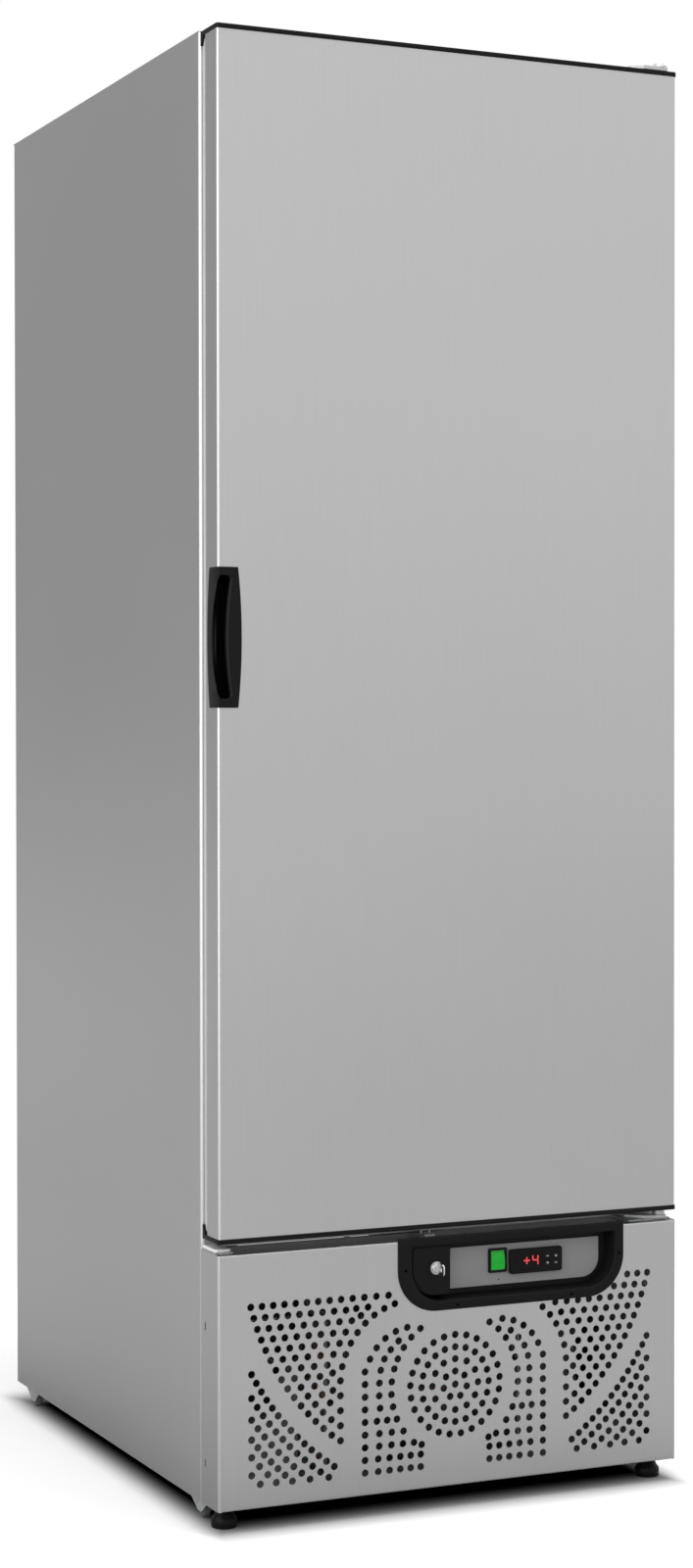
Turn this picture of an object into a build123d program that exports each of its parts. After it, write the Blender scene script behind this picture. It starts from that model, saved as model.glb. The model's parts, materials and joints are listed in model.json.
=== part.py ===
from build123d import *
import math
import os

os.makedirs("parts", exist_ok=True)

# Driving dimensions of the whole cabinet, in millimetres
WIDTH = 700
DEPTH = 870  # door front to back sheet
HEIGHT = 2000  # floor to top sheet
FLOOR_GAP = 30  # underside of the casing above the floor
KEY_REACH = 24  # how far the key stands out in front of the door
SHEET = 1.2  # stainless sheet of the casing
WALL = 60  # insulated wall
SIDE_RETURN = 25  # folded edges at the front of the casing
REAR_RETURN = 20

# The frame stands on the floor, with its origin under the middle of the whole box
FRONT = (KEY_REACH - DEPTH) / 2
HALF = WIDTH / 2


# Small round pieces are drawn with few sides, because the cabinet holds many of them
SIDES = 16
FEW_SIDES = 8


def y_at(depth):
    """The y of a place, from its depth behind the front of the door."""
    return FRONT + depth


def front_plane(depth):
    """A plane that faces the user, with x to the right and z up, at a depth."""
    return Plane.XZ.offset(-y_at(depth))


def side_plane(x):
    """A plane that faces right, with y and z as its own axes, at an x."""
    return Plane.YZ.offset(x)


def block(x0, x1, depth0, depth1, z0, z1, mode=Mode.ADD):
    """A square block between two corners of the casing."""
    with Locations(((x0 + x1) / 2, y_at((depth0 + depth1) / 2), (z0 + z1) / 2)):
        Box(x1 - x0, depth1 - depth0, z1 - z0, mode=mode)


def pane(x0, x1, z0, z1, mode=Mode.ADD):
    """A square outline on a plane that faces the user."""
    with Locations(((x0 + x1) / 2, (z0 + z1) / 2)):
        Rectangle(x1 - x0, z1 - z0, mode=mode)


# Levels and depths that many pieces share
CASING_TOP = HEIGHT - SHEET
BODY_FRONT = 62  # depth of the casing's front edge behind the door front
PANEL_TOP = 371  # top of the lower front panel
DECK = 376  # underside of the insulated floor
DOOR_LOW = 386  # underside of the door's lower cap
DOOR_HIGH = 1997  # top of the door's upper cap
CAP = 6.5  # height of a door cap
DOOR_DEPTH = 45
DOOR_HALF = HALF - 2  # the caps overhang the door sheet by 2 mm
HINGE_X = HALF - 16
HINGE_DEPTH = 22

# Chamber inside the insulation
CAVITY_HALF = HALF - WALL
CAVITY_LOW = DECK + SHEET + WALL
CAVITY_HIGH = HEIGHT - WALL
CAVITY_BACK = DEPTH - WALL
LINER = 1

# Side panels: one sheet from the machine compartment to the top, folded at both ends
for side, name in ((-1, "side_panel_left"), (1, "side_panel_right")):
    edge = side * HALF
    with BuildPart() as side_panel:
        with BuildSketch(Plane.XY.offset(FLOOR_GAP)):
            with BuildLine():
                Polyline(
                    (edge, y_at(BODY_FRONT)),
                    (edge - side * SIDE_RETURN, y_at(BODY_FRONT)),
                    (edge - side * SIDE_RETURN, y_at(BODY_FRONT + SHEET)),
                    (edge - side * SHEET, y_at(BODY_FRONT + SHEET)),
                    (edge - side * SHEET, y_at(DEPTH - SHEET)),
                    (edge - side * REAR_RETURN, y_at(DEPTH - SHEET)),
                    (edge - side * REAR_RETURN, y_at(DEPTH)),
                    (edge, y_at(DEPTH)),
                    close=True,
                )
            make_face()
        extrude(amount=CASING_TOP - FLOOR_GAP)
    side_panel.part.label = name
    export_step(side_panel.part, f"parts/{name}.step")

# Top panel: lies on the side panels and folds down in front and behind
with BuildPart() as top_panel:
    block(-HALF, HALF, BODY_FRONT, DEPTH, CASING_TOP, HEIGHT)
    block(-HALF + SIDE_RETURN, HALF - SIDE_RETURN, BODY_FRONT, BODY_FRONT + SHEET,
          CASING_TOP - SIDE_RETURN, CASING_TOP)
    block(-HALF + REAR_RETURN, HALF - REAR_RETURN, DEPTH - SHEET, DEPTH,
          CASING_TOP - REAR_RETURN, CASING_TOP)
top_panel.part.label = "top_panel"
export_step(top_panel.part, "parts/top_panel.step")

# Rear panel: flush between the side returns, with air slots behind the compressor
REAR_LOW = 100
SLOT_COLUMNS = 2
SLOT_ROWS = 6
SLOT_WIDTH = 240
SLOT_HEIGHT = 12
SLOT_COLUMN_STEP = 300
SLOT_ROW_STEP = 32
SLOTS_MIDDLE = 240
with BuildPart() as rear_panel:
    with BuildSketch(front_plane(DEPTH)):
        pane(-HALF + REAR_RETURN, HALF - REAR_RETURN, REAR_LOW, CASING_TOP - REAR_RETURN)
        with Locations((0, SLOTS_MIDDLE)):
            with GridLocations(SLOT_COLUMN_STEP, SLOT_ROW_STEP, SLOT_COLUMNS, SLOT_ROWS):
                Rectangle(SLOT_WIDTH, SLOT_HEIGHT, mode=Mode.SUBTRACT)
    extrude(amount=SHEET)
rear_panel.part.label = "rear_panel"
export_step(rear_panel.part, "parts/rear_panel.step")

# Foamed insulation: one hollow block, open at the front
with BuildPart() as insulation_foam:
    block(-HALF + SHEET, HALF - SHEET, BODY_FRONT + SHEET, DEPTH - SHEET, DECK + SHEET, CASING_TOP)
    block(-CAVITY_HALF, CAVITY_HALF, BODY_FRONT, CAVITY_BACK, CAVITY_LOW, CAVITY_HIGH,
          mode=Mode.SUBTRACT)
insulation_foam.part.label = "insulation_foam"
export_step(insulation_foam.part, "parts/insulation_foam.step")

# Inner liner: a sheet box that lines the chamber, open at the front
with BuildPart() as inner_liner:
    block(-CAVITY_HALF, CAVITY_HALF, BODY_FRONT + SHEET, CAVITY_BACK, CAVITY_LOW, CAVITY_HIGH)
    offset(amount=-LINER, openings=inner_liner.faces().sort_by(Axis.Y)[0])
inner_liner.part.label = "inner_liner"
export_step(inner_liner.part, "parts/inner_liner.step")

# Front frame: the flat collar round the chamber that the door seal closes on
FRAME_LOW = 372
with BuildPart() as front_frame:
    with BuildSketch(front_plane(BODY_FRONT + SHEET)):
        pane(-HALF + SIDE_RETURN, HALF - SIDE_RETURN, FRAME_LOW, CASING_TOP - SIDE_RETURN)
        pane(-CAVITY_HALF + LINER, CAVITY_HALF - LINER, CAVITY_LOW + LINER, CAVITY_HIGH - LINER,
             mode=Mode.SUBTRACT)
    extrude(amount=SHEET)
front_frame.part.label = "front_frame"
export_step(front_frame.part, "parts/front_frame.step")

# Machine deck: the sheet under the insulation, with a spout that drains the chamber
DRAIN_X = -150
DRAIN_DEPTH = 690
DRAIN_LOW = 120
SPOUT_RADIUS = 11
SPOUT_BORE = 9
with BuildPart() as machine_deck:
    block(-HALF + SHEET, HALF - SHEET, BODY_FRONT + SHEET, DEPTH - SHEET, DECK, DECK + SHEET)
    with BuildSketch(Plane.XY.offset(DECK)):
        with Locations((DRAIN_X, y_at(DRAIN_DEPTH))):
            RegularPolygon(SPOUT_RADIUS, FEW_SIDES)
    extrude(amount=DRAIN_LOW - DECK)
    with BuildSketch(Plane.XY.offset(DRAIN_LOW)):
        with Locations((DRAIN_X, y_at(DRAIN_DEPTH))):
            RegularPolygon(SPOUT_BORE, FEW_SIDES)
    extrude(amount=DECK + SHEET - DRAIN_LOW, mode=Mode.SUBTRACT)
machine_deck.part.label = "machine_deck"
export_step(machine_deck.part, "parts/machine_deck.step")

# Levelling feet and rollers that carry the casing
FOOT_X = 326
FOOT_DEPTH = 40
FOOT_RADIUS = 17.5
STEM_RADIUS = 5
ROLLER_X = 334
ROLLER_RADIUS = 13
ROLLER_WIDTH = 10
AXLE_RADIUS = 4
FRONT_ROLLER_LIFT = 2  # the feet hold the front rollers just clear of the floor
ROLLERS = (
    ("front_left", -ROLLER_X, 92, ROLLER_RADIUS + FRONT_ROLLER_LIFT),
    ("front_right", ROLLER_X, 92, ROLLER_RADIUS + FRONT_ROLLER_LIFT),
    ("rear_left", -ROLLER_X, 812, ROLLER_RADIUS),
    ("rear_right", ROLLER_X, 812, ROLLER_RADIUS),
)

# Base frame: a shallow tray with a raised rear wall that takes the mains gland
TRAY_HALF = HALF - SHEET
TRAY_FRONT = 20
TRAY_BACK = 848
TRAY_SHEET = 1.5
TRAY_WALL = 22
TRAY_BACK_TOP = REAR_LOW - 4  # just under the rear panel
FOOT_NUT_RADIUS = 11
FOOT_NUT_HEIGHT = 12
STEM_PLAY = 0.8
GLAND_X = 250
GLAND_Z = 70
GLAND_RADIUS = 8
with BuildPart() as base_frame:
    block(-TRAY_HALF, TRAY_HALF, TRAY_FRONT, TRAY_BACK, FLOOR_GAP, FLOOR_GAP + TRAY_WALL)
    block(-TRAY_HALF + TRAY_SHEET, TRAY_HALF - TRAY_SHEET, TRAY_FRONT + TRAY_SHEET,
          TRAY_BACK - TRAY_SHEET, FLOOR_GAP + TRAY_SHEET, FLOOR_GAP + TRAY_WALL,
          mode=Mode.SUBTRACT)
    for side in (-1, 1):
        corner = side * (HALF - SIDE_RETURN / 2)
        block(corner - SIDE_RETURN / 2, corner + SIDE_RETURN / 2, BODY_FRONT,
              BODY_FRONT + SHEET, FLOOR_GAP, FLOOR_GAP + TRAY_WALL, mode=Mode.SUBTRACT)
    block(-TRAY_HALF, TRAY_HALF, TRAY_BACK - TRAY_SHEET, TRAY_BACK, FLOOR_GAP, TRAY_BACK_TOP)
    with BuildSketch(Plane.XY.offset(FLOOR_GAP + TRAY_SHEET)):
        with Locations(*((side * FOOT_X, y_at(FOOT_DEPTH)) for side in (-1, 1))):
            RegularPolygon(FOOT_NUT_RADIUS, 6)
    extrude(amount=FOOT_NUT_HEIGHT)
    with BuildSketch(Plane.XY.offset(FLOOR_GAP)):
        with Locations(*((side * FOOT_X, y_at(FOOT_DEPTH)) for side in (-1, 1))):
            RegularPolygon(STEM_RADIUS + STEM_PLAY, FEW_SIDES)
    extrude(amount=TRAY_WALL, mode=Mode.SUBTRACT)
    with BuildSketch(front_plane(TRAY_BACK)):
        with Locations((GLAND_X, GLAND_Z)):
            RegularPolygon(GLAND_RADIUS, FEW_SIDES)
    extrude(amount=TRAY_SHEET, mode=Mode.SUBTRACT)
base_frame.part.label = "base_frame"
export_step(base_frame.part, "parts/base_frame.step")

# Perforated front panel
# The air holes follow four families of curves, all mirrored about the middle:
# a disc of rings, an arch that stands round the disc, an upper field and a lower field.
# Each hole has four sides here and nearly the area of a round hole of 9 mm.
HOLE_RADIUS = 5.6
HOLE_SIDES = 4
PANEL_LOW = FLOOR_GAP
DISC_CENTRE = (0, 169)
DISC_RINGS = ((0, 1), (18, 7), (35, 12), (51.5, 20), (68.5, 25))
COLLAR = 97  # radius of the arch's inner curve about the disc's centre
ARCH_CENTRE = (-65.6, 183)
ARCH_OUTER = 70.8
ARCH_LEFT = -136.3
ARCH_RIGHT = -52.7
ARCH_LEGS = (3, 3, 3, 3, 4, 4, 5, 6, 6)  # holes in each level row, from the top
ARCH_ROW_TOP = 198.3
ARCH_ROW_STEP = 17.2
FIELD_CENTRE = (35, 389)
FIELD_RADIUS = 350
FIELD_STEP = 15.6
FIELD_TURN = 2.58
FIELD_ROWS = 16
FIELD_EDGE = 107.5
FIELD_SIDE = -172.8
FIELD_INFILL = ((-149.3, 285.5), (-142.5, 275.3), (-131.7, 286), (-203, 198.2), (-184.3, 201.3),
                (-193.5, 189.5), (-184, 177.7))
HOLE_GAP = 12.5  # least distance between two centres
LOWER_LEFT = -302.4
LOWER_RINGS = ((382, 14, 2.11), (398, 12, 2.14), (414, 9, 2.12), (430, 7, 1.89), (445, 4, 2.2),
               (461, 2, 2.2))  # radius, holes and degrees between them


def on_circle(centre, radius, degrees):
    """A point of a circle, with the angle counted from the right towards the top."""
    turn = math.radians(degrees)
    return centre[0] + radius * math.cos(turn), centre[1] + radius * math.sin(turn)


def clear(place, places, gap):
    """Whether a hole keeps its distance from holes already placed."""
    return all(math.dist(place, other) > gap for other in places)


def disc_holes():
    """Rings of holes round the centre, each starting at its top."""
    for radius, count in DISC_RINGS:
        for i in range(count):
            yield on_circle(DISC_CENTRE, radius, 90 + 360 * i / count)


def arch_holes():
    """Left half of the arch: a crown of three curves over a leg of level rows."""
    for i in range(5):
        yield on_circle(ARCH_CENTRE, ARCH_OUTER, 96 + 14.3 * i)
    for i in range(4):
        yield on_circle(DISC_CENTRE, COLLAR, 123.1 + 10.3 * i)
    for i in range(3):
        yield on_circle(ARCH_CENTRE, 50.5 + 6.3 * 0.4**i, 111 + 16.5 * i)
    for row, count in enumerate(ARCH_LEGS):
        z = ARCH_ROW_TOP - ARCH_ROW_STEP * row
        reach = math.sqrt(COLLAR**2 - (z - DISC_CENTRE[1]) ** 2) if z > DISC_CENTRE[1] - COLLAR else 0
        right = min(-reach, ARCH_RIGHT)
        for i in range(count):
            yield ARCH_LEFT + (right - ARCH_LEFT) * (i / (count - 1)) ** 0.9, z
    yield ARCH_RIGHT + 1.5, 91


def field_holes():
    """Left upper field: rows that fill the space between a great arc and the arch."""
    edge = [on_circle(ARCH_CENTRE, FIELD_EDGE, 104 + 8.9 * i) for i in range(8)]
    edge += [(FIELD_SIDE, 189.7 - 20.3 * i) for i in range(5)]
    edge += FIELD_INFILL
    yield from edge
    cx, cz = FIELD_CENTRE
    for row in range(FIELD_ROWS):
        z = cz + FIELD_RADIUS * math.sin(math.radians(194.8 + FIELD_TURN * row))
        for k in range(14):
            reach = FIELD_RADIUS - FIELD_STEP * k
            if reach <= cz - z:
                break
            place = (cx - math.sqrt(reach**2 - (cz - z) ** 2), z)
            beyond_arch = math.dist(place, ARCH_CENTRE) > FIELD_EDGE or z < ARCH_CENTRE[1]
            left_of_edge = place[0] < FIELD_SIDE or z > ARCH_CENTRE[1]
            if beyond_arch and left_of_edge and place[0] < -98 and clear(place, edge, HOLE_GAP):
                yield place


def lower_holes():
    """Left lower field: arcs about the upper field's centre, all from one upright line."""
    for radius, count, step in LOWER_RINGS:
        start = 270 - math.degrees(math.asin((FIELD_CENTRE[0] - LOWER_LEFT) / radius))
        for i in range(count):
            yield on_circle(FIELD_CENTRE, radius, start + step * i)


# Control opening in the front panel
BEZEL_LEFT = -87
BEZEL_RIGHT = 264
BEZEL_LOW = 272.5
BEZEL_TOP = 375
BEZEL_RADIUS = 58
BEZEL_PROUD = 2.5
BEZEL_CHAMFER = 1.2
TUB_INSET = 8  # the tub behind the rim, and its cut-out in the sheet
TUB_TOP = PANEL_TOP - SHEET - 2


def hanging_tray(left, right, low, top, radius, mode=Mode.ADD):
    """An outline with a square top and two large round corners below."""
    with BuildLine() as outline:
        Polyline((left, low + radius), (left, top), (right, top), (right, low + radius))
        RadiusArc((right, low + radius), (right - radius, low), radius)
        Line((right - radius, low), (left + radius, low))
        RadiusArc((left + radius, low), (left, low + radius), radius)
    make_face(outline.edges(), mode=mode)


def all_holes():
    """Every air hole of the panel, left half and right half, clear of the controls."""
    left = list(arch_holes()) + list(field_holes()) + list(lower_holes())
    places = list(disc_holes()) + left + [(-x, z) for x, z in left]
    kept = []
    margin = 4  # from a hole's centre to the rim of the controls
    for x, z in places:
        beside = x < BEZEL_LEFT - margin or x > BEZEL_RIGHT + margin
        below = z < BEZEL_LOW - margin
        for corner in (BEZEL_LEFT + BEZEL_RADIUS, BEZEL_RIGHT - BEZEL_RADIUS):
            outside = x < corner if corner < 0 else x > corner
            far = math.dist((x, z), (corner, BEZEL_LOW + BEZEL_RADIUS)) > BEZEL_RADIUS + margin
            below = below or (outside and far and z < BEZEL_LOW + BEZEL_RADIUS)
        if beside or below:
            kept.append((x, z))
    return kept


# Slot for the lock bolt, and clearances round the two hinges, in the panel's top fold
BOLT_X = -25
BOLT_DEPTH = 36.5
BOLT_SLOT_WIDTH = 26
BOLT_SLOT_DEPTH = 8
HINGE_NOTCH = 71
BLANK_NOTCH = 28
NOTCH_FRONT = 8

# Upright slots in the panel's side folds, where it hooks onto the casing
HOOK_LEVELS = (105, 243)
HOOK_FRONT = 45
HOOK_BACK = 48
HOOK_HALF = 5

with BuildPart() as front_grille_panel:
    block(-HALF, -HALF + SHEET, SHEET, BODY_FRONT, PANEL_LOW, PANEL_TOP)
    block(HALF - SHEET, HALF, SHEET, BODY_FRONT, PANEL_LOW, PANEL_TOP)
    for z in HOOK_LEVELS:
        block(-HALF, HALF, HOOK_FRONT, HOOK_BACK, z - HOOK_HALF, z + HOOK_HALF, mode=Mode.SUBTRACT)
    with BuildSketch(Plane.XY.offset(PANEL_TOP)):
        with Locations((0, y_at((SHEET + BODY_FRONT) / 2))):
            Rectangle(WIDTH - 2 * SHEET, BODY_FRONT - SHEET)
        for left, right in ((-HALF, -HALF + BLANK_NOTCH), (HALF - HINGE_NOTCH, HALF)):
            with Locations(((left + right) / 2, y_at(NOTCH_FRONT + BODY_FRONT / 2))):
                Rectangle(right - left, BODY_FRONT, mode=Mode.SUBTRACT)
        with Locations((BOLT_X, y_at(BOLT_DEPTH))):
            Rectangle(BOLT_SLOT_WIDTH, BOLT_SLOT_DEPTH, mode=Mode.SUBTRACT)
    extrude(amount=-SHEET)
    block(-HALF + SHEET, HALF - SHEET, SHEET, TRAY_FRONT - 2, PANEL_LOW, PANEL_LOW + SHEET)
    with BuildSketch(front_plane(SHEET)):
        pane(-HALF, HALF, PANEL_LOW, PANEL_TOP)
        hanging_tray(BEZEL_LEFT + TUB_INSET, BEZEL_RIGHT - TUB_INSET, BEZEL_LOW + TUB_INSET,
                     TUB_TOP, BEZEL_RADIUS - TUB_INSET, mode=Mode.SUBTRACT)
        with Locations(*all_holes()):
            RegularPolygon(HOLE_RADIUS, HOLE_SIDES, mode=Mode.SUBTRACT)
    extrude(amount=SHEET)
front_grille_panel.part.label = "front_grille_panel"
export_step(front_grille_panel.part, "parts/front_grille_panel.step")
print("air holes in the front panel:", len(all_holes()))

# Control bezel: a rim over the cut-out, a drafted recess and a raised block for the lock
RECESS_LEFT = -66.5
RECESS_RIGHT = 249.5
RECESS_LOW = 286
RECESS_TOP = 362.5
RECESS_RADIUS = 45
RECESS_FLOOR = 20
RECESS_DRAFT = 12
BEZEL_WALL = 2
BLOCK_RIGHT = -8.5
BLOCK_FACE = 0.5
LOCK_X = -28.5
LOCK_Z = 331
BARREL_RADIUS = 9.5
ROCKER_X = 73.9
ROCKER_Z = 331.4
THERMOSTAT_X = 132.7
THERMOSTAT_Z = 327.7
THERMOSTAT_WIDTH = 82
THERMOSTAT_HEIGHT = 34
GUIDES = (-41.5, -6.6)  # left sides of the two ribs that guide the lock bolt
GUIDE_WIDTH = 4.1
GUIDE_BACK = 40
GUIDE_LOW = 338
GUIDE_HIGH = 352
BODY_CUT_WIDTH = 71
BODY_CUT_HEIGHT = 27
SWITCH_CUT_WIDTH = 24
SWITCH_CUT_HEIGHT = 30


def control_cutouts(mode=Mode.ADD):
    """Openings for the switch and the thermostat bodies."""
    with Locations((ROCKER_X, ROCKER_Z)):
        Rectangle(SWITCH_CUT_WIDTH, SWITCH_CUT_HEIGHT, mode=mode)
    with Locations((THERMOSTAT_X, THERMOSTAT_Z)):
        Rectangle(BODY_CUT_WIDTH, BODY_CUT_HEIGHT, mode=mode)


with BuildPart() as control_bezel:
    with BuildSketch(front_plane(0)):
        hanging_tray(BEZEL_LEFT, BEZEL_RIGHT, BEZEL_LOW, BEZEL_TOP, BEZEL_RADIUS)
    extrude(amount=BEZEL_PROUD)
    chamfer(control_bezel.faces().sort_by(Axis.Y)[0].edges(), BEZEL_CHAMFER)
    with BuildSketch(front_plane(0)):
        hanging_tray(BEZEL_LEFT + TUB_INSET, BEZEL_RIGHT - TUB_INSET, BEZEL_LOW + TUB_INSET,
                     TUB_TOP, BEZEL_RADIUS - TUB_INSET)
    extrude(amount=-RECESS_FLOOR - BEZEL_WALL)
    with BuildSketch(front_plane(-BEZEL_PROUD)):
        hanging_tray(RECESS_LEFT, RECESS_RIGHT, RECESS_LOW, RECESS_TOP, RECESS_RADIUS)
    extrude(amount=-RECESS_FLOOR - BEZEL_PROUD, taper=RECESS_DRAFT, mode=Mode.SUBTRACT)
    with BuildSketch(front_plane(BLOCK_FACE)):
        hanging_tray(RECESS_LEFT, RECESS_RIGHT, RECESS_LOW, RECESS_TOP, RECESS_RADIUS)
        pane(BLOCK_RIGHT, RECESS_RIGHT, RECESS_LOW, RECESS_TOP, mode=Mode.SUBTRACT)
    extrude(amount=-RECESS_FLOOR)
    with BuildSketch(front_plane(-BEZEL_PROUD)):
        with Locations((LOCK_X, LOCK_Z)):
            RegularPolygon(BARREL_RADIUS, SIDES)
        control_cutouts()
    extrude(amount=-BEZEL_PROUD - GUIDE_BACK, mode=Mode.SUBTRACT)
    for left in GUIDES:
        block(left, left + GUIDE_WIDTH, RECESS_FLOOR + BEZEL_WALL, GUIDE_BACK, GUIDE_LOW, GUIDE_HIGH)
control_bezel.part.label = "control_bezel"
export_step(control_bezel.part, "parts/control_bezel.step")

# Control fascia: the grey plate at the bottom of the recess
FASCIA_FACE = 18
FASCIA_LEFT = 1
FASCIA_RIGHT = 234.5
FASCIA_LOW = 297.3
FASCIA_TOP = 353.4
FASCIA_RADIUS = 27
with BuildPart() as control_fascia:
    with BuildSketch(front_plane(FASCIA_FACE)):
        pane(FASCIA_LEFT, FASCIA_RIGHT, FASCIA_LOW, FASCIA_TOP)
        fillet(vertices().group_by(Axis.Y)[0].sort_by(Axis.X)[-1], FASCIA_RADIUS)
        control_cutouts(mode=Mode.SUBTRACT)
    extrude(amount=FASCIA_FACE - RECESS_FLOOR)
control_fascia.part.label = "control_fascia"
export_step(control_fascia.part, "parts/control_fascia.step")

# Lock: a barrel in the block, a plug that turns in it, and a bolt lifted by the plug's pin
PLUG_RADIUS = 6
PLUG_CLEARANCE = 0.08
PLUG_PROUD = 1.2
FLANGE_WIDTH = 1.5
FLANGE_PROUD = 1
BARREL_BACK = 32
CAM_FRONT = 32.5
CAM_BACK = 34.5
PIN_REACH = 14
PIN_RADIUS = 2
PIN_START = -45  # degrees below the level at rest, and as far above it when locked
CAM_WIDTH = 8
CAM_TIP = 3  # how far the cam reaches past its pin
BOLT_FRONT = 35
BOLT_BACK = 38
BOLT_HEAD = 370.4
BOLT_FOOT = 349.2  # stays under the panel's top fold when the bolt is raised
BOLT_FOOT_LOW = 313
BOLT_FOOT_LEFT = -37
BOLT_FOOT_RIGHT = -7
BOLT_TONGUE = 20
PIN_SLOT_WIDTH = 10
PIN_SLOT_HEIGHT = 5.6
with BuildPart() as lock_barrel:
    with BuildSketch(front_plane(BLOCK_FACE)):
        with Locations((LOCK_X, LOCK_Z)):
            RegularPolygon(BARREL_RADIUS + FLANGE_WIDTH, SIDES)
    extrude(amount=BLOCK_FACE + FLANGE_PROUD)
    with BuildSketch(front_plane(BLOCK_FACE)):
        with Locations((LOCK_X, LOCK_Z)):
            RegularPolygon(BARREL_RADIUS, SIDES)
    extrude(amount=BLOCK_FACE - BARREL_BACK)
    with BuildSketch(front_plane(-FLANGE_PROUD)):
        with Locations((LOCK_X, LOCK_Z)):
            RegularPolygon(PLUG_RADIUS + PLUG_CLEARANCE, SIDES, major_radius=False)
    extrude(amount=-FLANGE_PROUD - BARREL_BACK, mode=Mode.SUBTRACT)
lock_barrel.part.label = "lock_barrel"
export_step(lock_barrel.part, "parts/lock_barrel.step")

KEY_THICK = 2
KEY_HEIGHT = 7
KEY_TIP = 20
KEY_NECK = 10  # where the blade meets the bow, in front of the door
BOW_RADIUS = 10
BOW_HOLE = 3
pin_turn = math.radians(PIN_START)
PIN_X = LOCK_X + PIN_REACH * math.cos(pin_turn)
PIN_Z = LOCK_Z + PIN_REACH * math.sin(pin_turn)
with BuildPart() as lock_plug:
    with BuildSketch(front_plane(-PLUG_PROUD)):
        with Locations((LOCK_X, LOCK_Z)):
            RegularPolygon(PLUG_RADIUS, SIDES)
            Rectangle(KEY_THICK, KEY_HEIGHT, mode=Mode.SUBTRACT)
    extrude(amount=-PLUG_PROUD - KEY_TIP)
    with BuildSketch(front_plane(KEY_TIP)):
        with Locations((LOCK_X, LOCK_Z)):
            RegularPolygon(PLUG_RADIUS, SIDES)
    extrude(amount=KEY_TIP - CAM_FRONT)
    with BuildSketch(front_plane(CAM_FRONT)):
        with Locations((LOCK_X, LOCK_Z)):
            RegularPolygon(PLUG_RADIUS, SIDES)
            Rectangle(PIN_REACH + CAM_TIP, CAM_WIDTH, rotation=PIN_START,
                      align=(Align.MIN, Align.CENTER))
    extrude(amount=CAM_FRONT - CAM_BACK)
    with BuildSketch(front_plane(CAM_BACK)):
        with Locations((PIN_X, PIN_Z)):
            RegularPolygon(PIN_RADIUS, FEW_SIDES)
    extrude(amount=CAM_BACK - BOLT_BACK)
lock_plug.part.label = "lock_plug"
export_step(lock_plug.part, "parts/lock_plug.step")

# Key: a flat blade in the plug with a pierced bow, hanging upright
with BuildPart() as key:
    with BuildSketch(side_plane(LOCK_X)):
        with Locations(((y_at(-KEY_NECK) + y_at(KEY_TIP)) / 2, LOCK_Z)):
            Rectangle(KEY_TIP + KEY_NECK, KEY_HEIGHT)
        with Locations((y_at(BOW_RADIUS - KEY_REACH), LOCK_Z)):
            RegularPolygon(BOW_RADIUS, FEW_SIDES, rotation=180 / FEW_SIDES, major_radius=False)
            RegularPolygon(BOW_HOLE, FEW_SIDES, mode=Mode.SUBTRACT)
    extrude(amount=KEY_THICK / 2, both=True)
key.part.label = "key"
export_step(key.part, "parts/key.step")

# Bolt: a tongue over a foot with the level slot that the plug's pin rides in
SLOT_MIDDLE = LOCK_X + PIN_REACH * (1 + math.cos(pin_turn)) / 2
with BuildPart() as lock_bolt:
    with BuildSketch(front_plane(BOLT_FRONT)):
        pane(BOLT_FOOT_LEFT, BOLT_FOOT_RIGHT, BOLT_FOOT_LOW, BOLT_FOOT)
        pane(BOLT_X - BOLT_TONGUE / 2, BOLT_X + BOLT_TONGUE / 2, BOLT_FOOT, BOLT_HEAD)
        with Locations((SLOT_MIDDLE, PIN_Z)):
            Rectangle(PIN_SLOT_WIDTH, PIN_SLOT_HEIGHT, mode=Mode.SUBTRACT)
    extrude(amount=BOLT_FRONT - BOLT_BACK)
lock_bolt.part.label = "lock_bolt"
export_step(lock_bolt.part, "parts/lock_bolt.step")

# Rocker switch: a frame clipped into the fascia and a rocker that turns about a level pin
FRAME_FACE = 14
ROCKER_WIDTH = 21.6
ROCKER_RADIUS = 13.6
ROCKER_PIVOT = 20
ROCKER_TILT = 6
ROCKER_CROWN = 8  # the face stands out most in the middle, and falls away to both ends
ROCKER_SHOULDER = 6.5
ROCKER_HEEL = 4
ROCKER_REACH = 15
ROCKER_PLAY = 0.8
ROCKER_FRAME_WIDTH = 28.3
ROCKER_FRAME_HEIGHT = 33.5
SWITCH_BACK = 44
SWITCH_WELL = 36
with BuildPart() as rocker_frame:
    with BuildSketch(front_plane(FRAME_FACE)):
        with Locations((ROCKER_X, ROCKER_Z)):
            Rectangle(ROCKER_FRAME_WIDTH, ROCKER_FRAME_HEIGHT)
    extrude(amount=FRAME_FACE - FASCIA_FACE)
    with BuildSketch(front_plane(FASCIA_FACE)):
        with Locations((ROCKER_X, ROCKER_Z)):
            Rectangle(SWITCH_CUT_WIDTH, SWITCH_CUT_HEIGHT)
    extrude(amount=FASCIA_FACE - SWITCH_BACK)
    with BuildSketch(front_plane(FRAME_FACE)):
        with Locations((ROCKER_X, ROCKER_Z)):
            Rectangle(ROCKER_WIDTH + ROCKER_PLAY, 2 * ROCKER_RADIUS + ROCKER_PLAY)
    extrude(amount=FRAME_FACE - SWITCH_WELL, mode=Mode.SUBTRACT)
rocker_frame.part.label = "rocker_frame"
export_step(rocker_frame.part, "parts/rocker_frame.step")

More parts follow.
